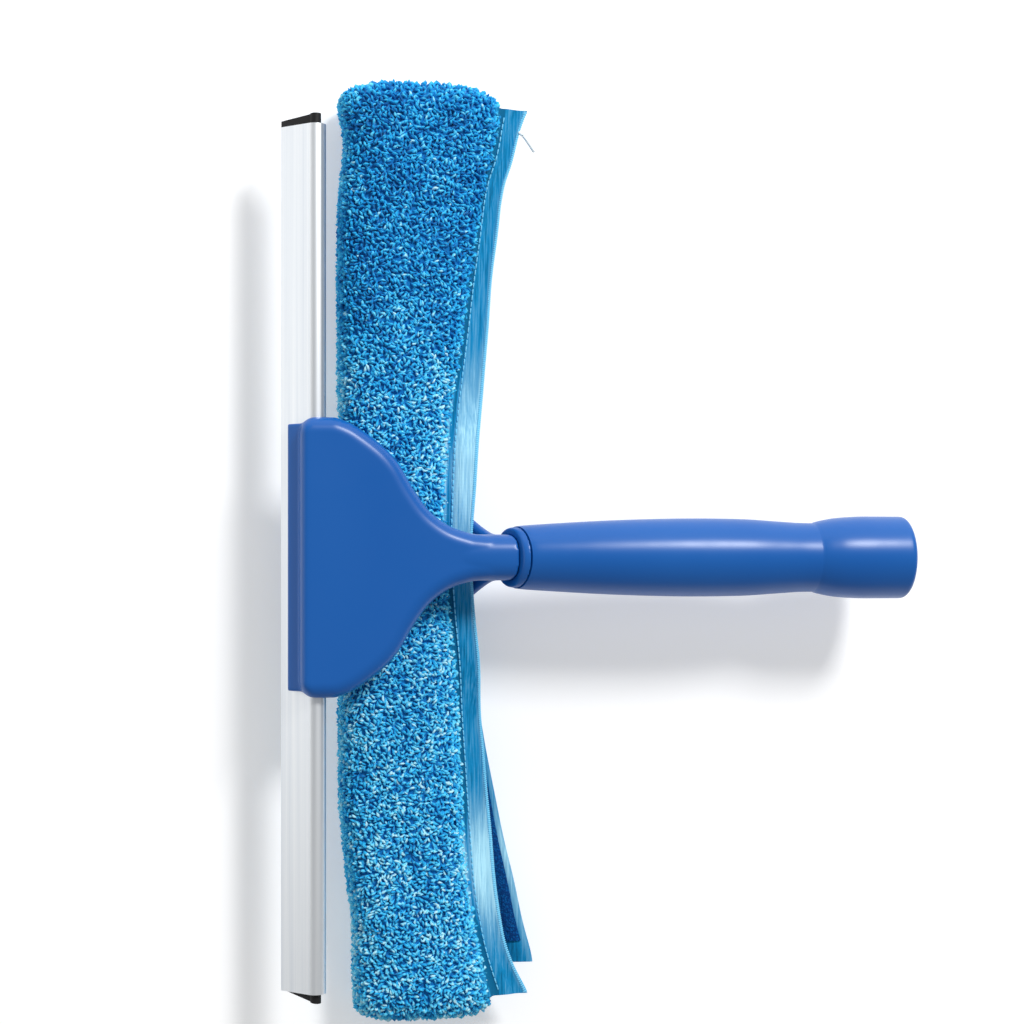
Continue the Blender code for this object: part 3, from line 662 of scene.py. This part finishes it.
def make_head(surface):
    """The fan-shaped moulding with its jaw's lip, neck and tenon, hollow and ribbed from below."""
    outline = head_outline()
    fillets = (HEAD_LOWER_FILLET, HEAD_FILLET)
    head = head_slab("head_shell", outline, HEAD_BOTTOM, HEAD_TOP, fillets, 8)
    lip = [
        channel_point(1.0, -JAW_LIP), channel_point(10.0, -JAW_LIP), channel_point(11.2, -JAW_LIP + 1.2),
        channel_point(11.2, 1.0), channel_point(1.0, 6.0), (11.0, HEAD_BOTTOM + 2.0), (11.0, HEAD_TOP - 2.0),
        (-0.5, HEAD_TOP - 2.0),
    ]
    combine(head, extrude_y("lip", lip, -JAW_HALF_WIDTH, JAW_HALF_WIDTH, None), "UNION")
    combine(head, neck_loft(), "UNION")
    stations = [
        (NECK_END - 8, TENON_RADIUS), (TENON_END - 2.5, TENON_RADIUS - 0.2), (TENON_END, TENON_RADIUS - 1.6),
    ]
    combine(head, loft("tenon", [round_ring(x, r, 72, TENON_FLAT) for x, r in stations], None), "UNION")
    inner = inset(outline, SHELL)
    hollow = head_slab("hollow", inner, HEAD_BOTTOM - 5.0, HEAD_TOP - SHELL, HOLLOW_FILLETS, 3)
    walls = [(CUT_X[0], -CUT_Y, HOLLOW_X[0], CUT_Y), (HOLLOW_X[1], -CUT_Y, CUT_X[1], CUT_Y)]
    walls += [(CUT_X[0], y - RIB_THICKNESS / 2, CUT_X[1], y + RIB_THICKNESS / 2) for y in RIB_Y]
    for x0, y0, x1, y1 in walls:
        combine(hollow, block("wall", (x0, y0, CUT_Z[0]), (x1, y1, CUT_Z[1])), "DIFFERENCE")
    combine(head, hollow, "DIFFERENCE")
    combine(head, channel_seat(), "DIFFERENCE")
    for side in (-1, 1):
        ring = arc((JAW_SCREW[0], side * JAW_SCREW[1]), SCREW_HOLE, 0, 350, 35)
        ends = (HEAD_BOTTOM - 4, HEAD_BOTTOM + 6.3)
        combine(head, loft("hole", [[(x, y, z) for x, y in ring] for z in ends], None), "DIFFERENCE")
    reshape(head, 0.5, 8, None, surface)
    return head


def make_channel(surface):
    """The extruded channel, whose ridge has a flank towards +Y that is darkened by painted shade."""
    half = (SLOT_T[1] - SLOT_T[0]) / 2
    mouth = math.degrees(math.asin(half / POCKET_RADIUS))
    join = math.degrees(math.asin((REAR_LIP_T[1] - BULB[1]) / BULB_RADIUS))
    outline = arc(BULB, BULB_RADIUS, 270, join, 40)
    outline += [
        (REAR_LIP_S - 0.5, REAR_LIP_T[1]), (REAR_LIP_S, REAR_LIP_T[1] - 0.5), (REAR_LIP_S, REAR_LIP_T[0]),
    ]
    outline += arc(BULB, POCKET_RADIUS, mouth, 360 - mouth, 32)
    outline += [
        (GROOVE_S[0], SLOT_T[0]), (GROOVE_S[0] + 0.4, FRONT_WALL), (GROOVE_S[1] - 0.4, FRONT_WALL),
        (GROOVE_S[1], SLOT_T[0]), (CHANNEL_WIDTH - 0.4, SLOT_T[0]), (CHANNEL_WIDTH, SLOT_T[0] - 0.4),
        (CHANNEL_WIDTH, 0.4), (CHANNEL_WIDTH - 0.4, 0.0),
    ]
    section = [channel_point(s, t) for s, t in outline]
    made = extrude_y("channel_extrusion", section, *CHANNEL_ENDS, surface, 30)
    # Painted shade on the ridge's far flank, growing with how far it faces towards the handle
    flank = []
    for s, t in outline:
        facing = (t - BULB[1] - s + BULB[0]) * math.sqrt(0.5) / BULB_RADIUS
        flank.append(float(smooth_step((facing - FLANK_FACING[0]) / (FLANK_FACING[1] - FLANK_FACING[0]))))
    return with_values(made, "flank_shade", [0.0] * len(flank) + flank)


def make_rubber(surface):
    """The blade's bead and flat strip; its ends are cut at a slant."""
    mouth = math.degrees(math.asin(STRIP_HALF / BEAD_RADIUS))
    outline = arc(BULB, BEAD_RADIUS, mouth, 360 - mouth, 32)
    outline += [(LIP_S - 2.2, BULB[1] - STRIP_HALF), (LIP_S, BULB[1] - STRIP_HALF * 0.6),
                (LIP_S, BULB[1] + STRIP_HALF * 0.6), (LIP_S - 2.2, BULB[1] + STRIP_HALF)]
    low, high = [], []
    for s, t in outline:
        x, z = channel_point(s, t)
        share = 1 - float(smooth_step(s / LIP_S))
        low.append((x, BLADE_ENDS[0] - BLADE_SLANT[0] * share, z))
        high.append((x, BLADE_ENDS[1] + BLADE_SLANT[1] * share, z))
    return loft("rubber_strip", [low, high], surface, crease=30)


def refined(node, name, surface, edge):
    """A CAD node's shape again, with its flat faces whole and its edges slightly rounded."""
    mesh = frame["nodes"][node].data.copy()
    shape = bmesh.new()
    shape.from_mesh(mesh)
    bmesh.ops.remove_doubles(shape, verts=shape.verts, dist=0.000002)
    bmesh.ops.dissolve_limit(shape, angle_limit=math.radians(0.5), verts=shape.verts, edges=shape.edges)
    clean = bpy.data.meshes.new(name)
    shape.to_mesh(clean)
    shape.free()
    clean.shade_smooth()
    clean.set_sharp_from_angle(angle=math.radians(35))
    clean.materials.clear()
    clean.materials.append(surface)
    made = bpy.data.objects.new(name, clean)
    bpy.context.collection.objects.link(made)
    if edge:
        step = made.modifiers.new("edges", "BEVEL")
        step.width = edge * MM
        step.segments = 2
        step.limit_method = "ANGLE"
        step.angle_limit = math.radians(40)
        bake_modifiers(made)
        made.data.shade_smooth()
        made.data.set_sharp_from_angle(angle=math.radians(50))
    return made


# ---------------------------------------------------------------- arm and handle

def make_arm(surface):
    """The scrubber's arm: a slanted collar, a widening stem, and a flange with two screw holes."""
    x0, x1 = COLLAR_X
    outer = [
        (x0, COLLAR_RADIUS - 0.8), (x0 + 0.2, COLLAR_RADIUS - 0.3), (x0 + 0.6, COLLAR_RADIUS),
        (x1, COLLAR_RADIUS + 0.3),
    ]
    bore = TENON_RADIUS + BORE_CLEARANCE
    flat = TENON_FLAT + BORE_CLEARANCE
    rings = [round_ring(x, radius, 96, None, MOUTH_SLANT) for x, radius in outer]
    rings += [round_ring(x, bore, 96, flat, MOUTH_SLANT) for x in (x1, x0)]
    arm = loft("arm_collar", rings, None, wrap=True)
    path = curve_through([(x, z, w) for (x, z), w in zip(STEM_PATH, STEM_HALF_WIDTHS)], 8)
    rings = []
    for i, (x, z, width) in enumerate(path):
        before = path[max(0, i - 1)]
        after = path[min(len(path) - 1, i + 1)]
        along = Vector((after[0] - before[0], after[1] - before[1])).normalized()
        normal = Vector((-along.y, along.x))
        half = STEM_THICKNESS / 2
        section = rounded_section(-width, width, -half, half, 2.0)
        rings.append([(x + normal.x * deep, y, z + normal.y * deep) for y, deep in section])
    combine(arm, loft("stem", rings, None), "UNION")
    low_x, high_x, half, low_z, high_z = ARM_FLANGE
    section = rounded_section(-half, half, low_z, high_z, 3.0)
    combine(arm, loft("flange", [[(x, y, z) for y, z in section] for x in (low_x, high_x)], None), "UNION")
    for side in (-1, 1):
        ring = arc((side * BAR_SCREW[0], BAR_SCREW[1]), SCREW_HOLE, 0, 350, 35)
        hole = loft("hole", [[(x, y, z) for y, z in ring] for x in (low_x - 2, high_x + 2)], None)
        combine(arm, hole, "DIFFERENCE")
    reshape(arm, 0.35, 5, None, surface)
    return arm


def make_handle(surface):
    """The tapered grip with its flared end, the tenon's bore and the pole socket."""
    count = 128
    rim = arc((END_X - RIM_FILLET, FLARE_RADIUS - RIM_FILLET), RIM_FILLET, 90, 0, 8)
    outer = curve_through(HANDLE_STATIONS, 8) + curve_through(FLARE_STATIONS, 6) + rim[1:]
    bore = TENON_RADIUS + BORE_CLEARANCE
    flat = TENON_FLAT + BORE_CLEARANCE
    inside = [(END_X, SOCKET_RADIUS + 0.6), (END_X - 0.6, SOCKET_RADIUS), (SOCKET_START, SOCKET_RADIUS)]
    inside += HANDLE_HOLLOW
    rings = []
    for x, radius in outer:
        slant = MOUTH_SLANT * max(0.0, 1 - (x - MOUTH_X) / MOUTH_SLANT_LENGTH)
        rings.append(round_ring(x, radius, count, None, slant))
    rings += [round_ring(x, radius, count) for x, radius in inside]
    rings.append(round_ring(TENON_END + 1.5, bore, count, flat))
    rings.append(round_ring(MOUTH_X, bore, count, flat, MOUTH_SLANT))
    return loft("handle_shell", rings, surface, wrap=True, crease=40)


def make_liner(surface):
    """The threaded sleeve in the pole socket; its thread is a helix on its inner wall."""
    count = 96
    x0, x1 = LINER_X
    rings = [round_ring(x0, LINER_RADIUS, count), round_ring(x1 - 0.6, LINER_RADIUS, count),
             round_ring(x1, LINER_RADIUS - 0.6, count)]
    steps = 110
    for i in range(steps + 1):
        x = x1 - (x1 - x0) * i / steps
        ring = []
        for j in range(count):
            angle = 2 * math.pi * (j + 0.5) / count
            turn = (x / THREAD_PITCH - j / count) % 1.0
            groove = THREAD_DEPTH * (0.5 + 0.5 * math.cos(2 * math.pi * turn)) * min(1.0, i / 14)
            radius = THREAD_RADIUS + groove
            ring.append((x, radius * math.cos(angle), AXIS_Z + radius * math.sin(angle)))
        rings.append(ring)
    return loft("socket_liner", rings, surface, wrap=True, crease=45)


# ---------------------------------------------------------------- sleeve

def through(stations, y):
    """A smooth line through stations along the bar."""
    line = np.array(curve_through(stations, 8))
    return np.interp(y, line[:, 0], line[:, 1])


def wobble(y, seed, size):
    """A gentle uneven wave along the sleeve."""
    phases = random.Random(seed)
    total = 0.0 * y
    for length in (170.0, 90.0, 52.0, 31.0):
        total = total + math.sqrt(length / 170.0) * np.sin(2 * math.pi * (y / length + phases.random()))
    return total * size * 0.5


def slit(x, y, z):
    """How far a place lies in the opening between the sleeve's two flaps, from 0 to 1."""
    height = smooth_step((SLIT_HALF + 0.8 - np.abs(z - SLEEVE_MIDDLE)) / 1.6)
    length = smooth_step((SLIT_END - np.abs(y - SLEEVE_SHIFT)) / 5.0)
    return height * length * (x > SLIT_X - 0.5)


def sleeve_surface(u, v, opened=True):
    """Points of the pile's backing: u goes round the section from 0 to 1, v along it from -1 to 1."""
    end = np.clip((np.abs(v) - END_ZONE) / (1 - END_ZONE), 0.0, 1.0)
    shrink = np.sqrt(np.clip(1 - end ** 3, 0.0, 1.0))
    drop = np.where(v > 0, END_DROP_TOP, END_DROP_BOTTOM)
    taper = np.where(v > 0, END_TAPER_TOP, END_TAPER_BOTTOM)
    cos, sin = np.cos(2 * math.pi * u), np.sin(2 * math.pi * u)
    across = np.sign(cos) * np.abs(cos) ** SECTION_POWER
    up = np.sign(sin) * np.abs(sin) ** SECTION_POWER
    y = SLEEVE_SHIFT + v * (SLEEVE_END - drop * end * np.abs(across) ** 4)
    left = through(SLEEVE_LEFT, y) + wobble(y, 3, 0.5)
    right = through(SLEEVE_RIGHT, y) + wobble(y, 5, 0.5)
    half = (right - left) / 2 * (1 - taper * (1 - shrink))
    x = (left + right) / 2 + half * across
    puff = 1 + 0.03 * wobble(y + 2 * x, 7, 1.0)
    flat = END_HEIGHT + (1 - END_HEIGHT) * shrink
    z = SLEEVE_MIDDLE + (SLEEVE_Z[1] - SLEEVE_Z[0]) / 2 * flat * up * np.where(up > 0, puff, 1.0)
    if opened:
        x = x + (SLIT_X - x) * slit(x, y, z)
    return np.stack([x, y, z], axis=-1)


def make_backing(surface):
    """The cloth that the loops stand on: folded round the bar, open between its flaps."""
    u = np.linspace(0, 1, BACKING_AROUND, endpoint=False)
    v = np.sin(np.linspace(-math.pi / 2, math.pi / 2, BACKING_ALONG))
    points = sleeve_surface(*np.meshgrid(u, v))
    made = loft("sleeve_backing", points.tolist(), surface, crease=180)
    # The backing gets the pile's darkest tone: painted shade between the loops
    return with_values(made, "tone", np.full(BACKING_AROUND * BACKING_ALONG, 0.1))


def loop_roots(rng, low, high):
    """Places and normals of the loops between two shares of the sleeve's length."""
    step = LOOP_SPACING * LOOP_ROW / SLEEVE_END
    ring_u = np.linspace(0, 1, 360, endpoint=False)
    spots = []
    for number, v in enumerate(np.arange(low, high, step)):
        ring = sleeve_surface(ring_u, np.full_like(ring_u, v))
        steps = np.linalg.norm(np.roll(ring, -1, axis=0) - ring, axis=1)
        length = np.concatenate([[0.0], np.cumsum(steps)])
        count = max(6, int(length[-1] / LOOP_SPACING))
        at = (np.arange(count) + 0.5 * (number % 2)) / count * length[-1] + rng.normal(0, 0.26, count)
        spots.append(np.stack([np.interp(at % length[-1], length, np.append(ring_u, 1.0)),
                               v + rng.normal(0, 0.24 / SLEEVE_END, count)], axis=1))
    u, v = np.concatenate(spots).T
    v = np.clip(v, -LAST_V, LAST_V)
    root = sleeve_surface(u, v)
    normal = np.cross(sleeve_surface(u, v + 0.0004) - sleeve_surface(u, v - 0.0004),
                      sleeve_surface(u + 0.002, v) - sleeve_surface(u - 0.002, v))
    normal /= np.linalg.norm(normal, axis=1, keepdims=True) + 1e-9
    closed = sleeve_surface(u, v, opened=False)
    keep = slit(*closed.T) < 0.05
    return root[keep], normal[keep]


def end_roots(rng, side):
    """Places and normals of the loops on one closed end of the sleeve."""
    ring_u = np.linspace(0, 1, 90, endpoint=False)
    rim = sleeve_surface(ring_u, np.full_like(ring_u, side * LAST_V))
    centre = rim.mean(axis=0)
    roots = []
    for share in np.arange(0.04, 1.0, 0.1):
        index = rng.integers(0, len(rim), max(6, int(110 * share)))
        roots.append(centre + (rim[index] - centre) * share)
    root = np.concatenate(roots)
    return root, np.tile([0.0, float(side), 0.0], (len(root), 1))


def make_loops(name, rng, root, normal, surface):
    """Small arches of yarn, one for each root, leaning in loose swirls."""
    count = len(root)
    helper = np.where(np.abs(normal[:, :1]) < 0.8, np.array([[1.0, 0.0, 0.0]]), np.array([[0.0, 0.0, 1.0]]))
    side_a = np.cross(normal, helper)
    side_a /= np.linalg.norm(side_a, axis=1, keepdims=True)
    side_b = np.cross(normal, side_a)
    turn = rng.uniform(0, 2 * math.pi, count)[:, None]
    run = side_a * np.cos(turn) + side_b * np.sin(turn)
    wide = np.cross(normal, run)
    swirl = np.stack([np.sin(root[:, 1] * 0.5 + 1.4 * np.sin(root[:, 0] * 0.3)),
                      np.sin(root[:, 0] * 0.6 + root[:, 1] * 0.2), np.zeros(count)], axis=1) * 0.5
    lean = rng.normal(0, 0.55, (count, 3)) + swirl
    lean -= (lean * normal).sum(axis=1, keepdims=True) * normal
    span = (LOOP_SPAN * rng.uniform(0.7, 1.3, count))[:, None]
    height = (LOOP_HEIGHT * rng.uniform(0.65, 1.15, count))[:, None]
    radius = (LOOP_RADIUS * rng.uniform(0.8, 1.25, count))[:, None]
    rings = []
    for station in range(LOOP_STATIONS):
        part = station / (LOOP_STATIONS - 1)
        rise = math.sin(math.pi * part) ** 0.75
        centre = root + run * span * (part - 0.5) * (1 + 0.3 * rise) + normal * (height * rise - LOOP_SINK)
        centre = centre + lean * rise
        outward = -run * math.cos(math.pi * part) + normal * math.sin(math.pi * part)
        for corner in range(LOOP_SIDES):
            angle = 2 * math.pi * corner / LOOP_SIDES + math.pi / 2
            rings.append(centre + (wide * math.cos(angle) + outward * math.sin(angle)) * radius)
    stack = np.stack(rings, axis=1)
    stack[:, :, 2] = np.maximum(stack[:, :, 2], 0.02)
    per = LOOP_SIDES * LOOP_STATIONS
    faces = []
    for station in range(LOOP_STATIONS - 1):
        for corner in range(LOOP_SIDES):
            a = station * LOOP_SIDES + corner
            b = station * LOOP_SIDES + (corner + 1) % LOOP_SIDES
            faces.append((a, b, b + LOOP_SIDES, a + LOOP_SIDES))
    quads = (np.array(faces)[None] + (np.arange(count) * per)[:, None, None]).reshape(-1, 4)
    mesh = bpy.data.meshes.new(name)
    mesh.from_pydata(place(stack.reshape(-1, 3)).tolist(), [], quads.tolist())
    mesh.shade_smooth()
    mesh.materials.append(surface)
    made = bpy.data.objects.new(name, mesh)
    bpy.context.collection.objects.link(made)
    patch = 0.1 * np.sin(root[:, 0] * 0.21 + 2 * np.sin(root[:, 1] * 0.06)) * np.sin(root[:, 1] * 0.13)
    # Painted shade: loops past Y 50 mm, towards the sleeve's upper end, are painted darker, fully from Y 110
    # mm
    top_shade = 0.26 * smooth_step((root[:, 1] - 50) / 60)
    own = rng.normal(0.64, 0.19, count) + patch - top_shade
    # Painted shade at each loop's feet, paler towards its top, station by station
    loop_shade = np.repeat(LOOP_PAINTED_SHADE, LOOP_SIDES)
    return with_values(made, "tone", np.clip(own[:, None] + loop_shade[None], 0.0, 1.0))


def hump(value, at, width):
    """A soft hump, 1 at its middle."""
    return math.exp(-((value - at) / width) ** 2)


def hem_point(y, across, front):
    """The middle of the border's cloth at a share of its width."""
    near_arm = 1 - smooth_step((np.abs(y) - 34) / 26)
    lift = HEM_SPREAD * near_arm * (1 if front else -1)
    inner = through(SLEEVE_RIGHT, y) - HEM_OVERLAP
    outer = through(HEM_FRONT if front else HEM_REAR, y) + wobble(y, 11 if front else 12, 0.5)
    root, edge = HEM_Z[front]
    edge = edge + lift + wobble(y, 13 if front else 14, 0.5)
    fold = 0.45 * hump(across, FOLD_SHARE, 0.12) * (1 + wobble(y, 15, 0.8))
    fold = fold - 0.9 * hump(across, SEAM_SHARE, 0.09)
    x = inner + (outer - inner) * across
    z = root + (edge - root) * smooth_step(across * 1.25) + (fold if front else -fold)
    return float(x), float(z)


def hem_painted_light(y):
    """Painted light on the border at a place along the bar, where it would face the lamp."""
    return hump(y, 34, 34) + 1.2 * hump(y, -112, 22)


def make_hem(name, front, surface):
    """A ribbon sewn to the pile's edge, a little wavy, with a rolled outer edge."""
    shares = np.linspace(0.0, 1.0, 21)
    rings, tones = [], []
    for y in np.linspace(*HEM_ENDS[front], 280):
        top, bottom = [], []
        for share in shares:
            x, z = hem_point(y, share, front)
            puff = HEM_HALF_THICKNESS + 0.3 * hump(share, 0.94, 0.04)
            top.append((x, float(y), z + puff))
            bottom.append((x, float(y), z - puff))
        rings.append(top + bottom[::-1])
        # Painted light along the bar, half as strong on the rear border
        pale = (0.16 + 0.62 * hem_painted_light(y)) * (1.0 if front else 0.5)
        # Painted shade in the seam's valley; the rolled outer edge is paler
        row = [pale + 0.3 * hump(share, 0.95, 0.06) - 0.6 * hump(share, SEAM_SHARE, 0.08) for share in shares]
        tones.append(row + row[::-1])
    return with_values(loft(name, rings, surface, crease=60), "tone", tones)


def make_tape(name, front, side, surface):
    """A strip of hook or loop tape on the inside of a border."""
    facing = -1 if front else 1
    rings = []
    for y in np.linspace(side * TAPE_Y[0], side * TAPE_Y[1], 70):
        near, far = [], []
        for share in np.linspace(*TAPE_SHARE, 7):
            x, z = hem_point(y, share, front)
            edge = 0.3 if share in TAPE_SHARE else 0.0
            near.append((x, float(y), z + facing * (HEM_HALF_THICKNESS - 0.1)))
            far.append((x, float(y), z + facing * (HEM_HALF_THICKNESS + TAPE_THICKNESS - edge)))
        rings.append(near + far[::-1])
    return loft(name, rings, surface, crease=50)


def stitch(start, end, radius):
    """Points of one stitch: a short six-sided rod between two places, pinched at its ends."""
    start, end = Vector(start), Vector(end)
    along = (end - start).normalized()
    side = along.orthogonal().normalized()
    other = along.cross(side)
    rings = []
    for part, wide in ((0.0, 0.35), (0.15, 0.9), (0.5, 1.0), (0.85, 0.9), (1.0, 0.35)):
        centre = start.lerp(end, part)
        for i in range(6):
            turn = 2 * math.pi * i / 6
            rings.append(tuple(centre + (side * math.cos(turn) + other * math.sin(turn)) * radius * wide))
    return rings


def stitches_object(name, rods, surface):
    """All stitches of a border as one object."""
    points, faces = [], []
    for rod in rods:
        base = len(points)
        points += rod
        for level in range(4):
            for i in range(6):
                j = (i + 1) % 6
                a = base + level * 6
                faces.append((a + i, a + j, a + 6 + j, a + 6 + i))
        faces.append(tuple(base + i for i in range(6)))
        faces.append(tuple(base + 24 + i for i in range(6)))
    return piece(name, points, faces, surface, 70)


def make_stitches(name, front, surface):
    """A row of lock stitches by the seam and an overlocked outer edge."""
    up = 1 if front else -1
    low, high = HEM_ENDS[front]
    rods = []
    for y in np.arange(low + 2, high - 3, STITCH_PITCH):
        ends = []
        for at in (y, y + STITCH_LENGTH):
            x, z = hem_point(at, STITCH_SHARE, front)
            ends.append((x, at, z + up * (HEM_HALF_THICKNESS + 0.1)))
        rods.append(stitch(*ends, 0.3))
    for y in np.arange(low + 0.5, high - 1, OVERLOCK_PITCH):
        x0, z0 = hem_point(y, OVERLOCK_SHARE, front)
        x1, z1 = hem_point(y + OVERLOCK_LEAN, 1.0, front)
        rods.append(stitch((x0, y, z0 + up * 1.05), (x1 + 0.2, y + OVERLOCK_LEAN, z1 + up * 0.6), 0.36))
    return stitches_object(name, rods, surface)


def make_loose_thread(surface):
    """The end of the sewing thread, which stands off the front border's corner."""
    path = curve_through(LOOSE_THREAD, 8)
    rings = []
    for i, spot in enumerate(path):
        along = Vector(path[min(i + 1, len(path) - 1)]) - Vector(path[max(i - 1, 0)])
        side = along.orthogonal().normalized()
        other = along.normalized().cross(side)
        radius = LOOSE_THREAD_RADIUS if 0 < i < len(path) - 1 else 0.15
        rings.append([tuple(Vector(spot) + (side * math.cos(a) + other * math.sin(a)) * radius)
                      for a in (math.pi * k / 4 for k in range(8))])
    return loft("loose_thread", rings, surface, crease=60)


# ---------------------------------------------------------------- stage

def make_stage():
    floor = block("floor", (-FLOOR_HALF, -FLOOR_HALF, -6), (FLOOR_HALF, FLOOR_HALF, -0.05))
    paper = Surface("pale_floor", srgb(226, 226, 226), 0.9)
    paper.shader.inputs["Emission Color"].default_value = (1.0, 1.0, 1.0, 1.0)
    paper.shader.inputs["Emission Strength"].default_value = 0.33
    floor.data.materials.append(paper.material)


def area_light(name, at, towards, size, power):
    data = bpy.data.lights.new(name, "AREA")
    data.shape = "RECTANGLE"
    data.size, data.size_y = size
    data.energy = power
    made = bpy.data.objects.new(name, data)
    made.location = at
    direction = Vector(towards) - Vector(at)
    made.rotation_euler = direction.to_track_quat("-Z", "Y").to_euler()
    bpy.context.collection.objects.link(made)


def make_camera():
    data = bpy.data.cameras.new("camera")
    data.sensor_width = SENSOR
    data.lens = VIEW_FOCUS * SENSOR
    data.shift_y = VIEW_SHIFT
    data.clip_start = 0.01
    made = bpy.data.objects.new("camera", data)
    made.location = place([VIEW_PLACE])[0]
    made.rotation_euler = (0.0, -VIEW_TILT, 0.0)
    bpy.context.collection.objects.link(made)
    bpy.context.scene.camera = made


def make_lights():
    world = bpy.data.worlds.new("studio")
    world.use_nodes = True
    sky = world.node_tree.nodes["Background"]
    sky.inputs["Color"].default_value = (0.97, 0.98, 1.0, 1.0)
    sky.inputs["Strength"].default_value = 0.38
    bpy.context.scene.world = world
    area_light("key", (0.6, 1.08, 1.35), (0.0, 0.0, 0.03), (0.4, 0.4), 27.0)
    area_light("side", (0.05, 1.0, 0.35), (0.0, 0.0, 0.03), (1.5, 0.6), 3.2)
    area_light("left", (-1.0, 0.24, 0.3), (0.0, 0.06, 0.03), (1.0, 0.55), 1.5)
    bpy.context.scene.view_settings.view_transform = "Standard"


# ---------------------------------------------------------------- assembly

def main():
    rng = np.random.default_rng(7)
    blue = moulded_plastic("blue_plastic", srgb(14, 87, 166), srgb(24, 94, 172), 0.3, 0.12)
    grey_plastic = moulded_plastic("grey_plastic", srgb(126, 130, 136), srgb(140, 144, 150), 0.5, 0.2)
    aluminium = extruded_aluminium()
    rubber = black_rubber()
    steel = plated_steel()
    pile = pile_yarn()
    border = woven_border(srgb(0, 132, 188), srgb(180, 234, 252))
    tape = fastener_tape(srgb(0, 56, 116), srgb(0, 98, 168))
    thread = sewing_thread("pale_thread", srgb(112, 202, 240))
    white_thread = sewing_thread("white_thread", srgb(236, 246, 250))

    finish_piece(make_head(blue), "head", "blue_plastic", "squeegee_head")
    finish_piece(refined("rear_jaw", "jaw_plate", blue, 0.25), "head", "blue_plastic", "rear_jaw")
    hardware = (
        ("jaw_screw", "jaw_bolt", "head", "steel", steel),
        ("bar_screw", "bar_bolt", "scrubber", "steel", steel),
        ("bar_cap", "bar_plug", "scrubber", "grey_plastic", grey_plastic),
    )
    for side, end in (("lower", -1), ("upper", 1)):
        for node, name, body, slot, surface in hardware:
            made = refined(f"{node}_{side}", f"{name}_{side}", surface, 0.0)
            finish_piece(made, body, slot, f"{node}_{side}")
        for kind, front in (("loop", True), ("hook", False)):
            strip = make_tape(f"{kind}_tape_{side}", front, end, tape)
            finish_piece(strip, "scrubber", "fastener_tape", f"{kind}_strip_{side}")
    finish_piece(make_channel(aluminium), "head", "aluminium", "blade_channel")
    finish_piece(make_rubber(rubber), "blade", "black_rubber", "rubber_blade")

    finish_piece(make_arm(blue), "scrubber", "blue_plastic", "scrubber_arm")
    profile = refined("bar_tube", "bar_profile", grey_plastic, 0.0)
    finish_piece(profile, "scrubber", "grey_plastic", "bar_tube")

    backing = finish_piece(make_backing(pile), "scrubber", "blue_pile", "sleeve_pile")
    shares = (-0.998, -0.55, 0.0, 0.5, 0.998)
    for name, low, high in zip("abcd", shares, shares[1:]):
        root, normal = loop_roots(rng, low, high)
        finish_piece(make_loops(f"pile_loops_{name}", rng, root, normal, pile), "scrubber", "blue_pile")
    for name, side in (("lower", -1), ("upper", 1)):
        root, normal = end_roots(rng, side)
        finish_piece(make_loops(f"pile_end_{name}", rng, root, normal, pile), "scrubber", "blue_pile")

    for name, front in (("hem_front", True), ("hem_rear", False)):
        hem = finish_piece(make_hem(f"border_{name[4:]}", front, border), "scrubber", "blue_border", name)
        finish_piece(make_stitches(f"stitches_{name[4:]}", front, thread), "scrubber", "blue_border")
    finish_piece(make_loose_thread(white_thread), "scrubber", "blue_border")

    finish_piece(make_handle(blue), "handle", "blue_plastic", "handle_tube")
    finish_piece(make_liner(grey_plastic), "handle", "grey_plastic", "pole_socket_liner")

    make_stage()
    make_camera()
    make_lights()


main()
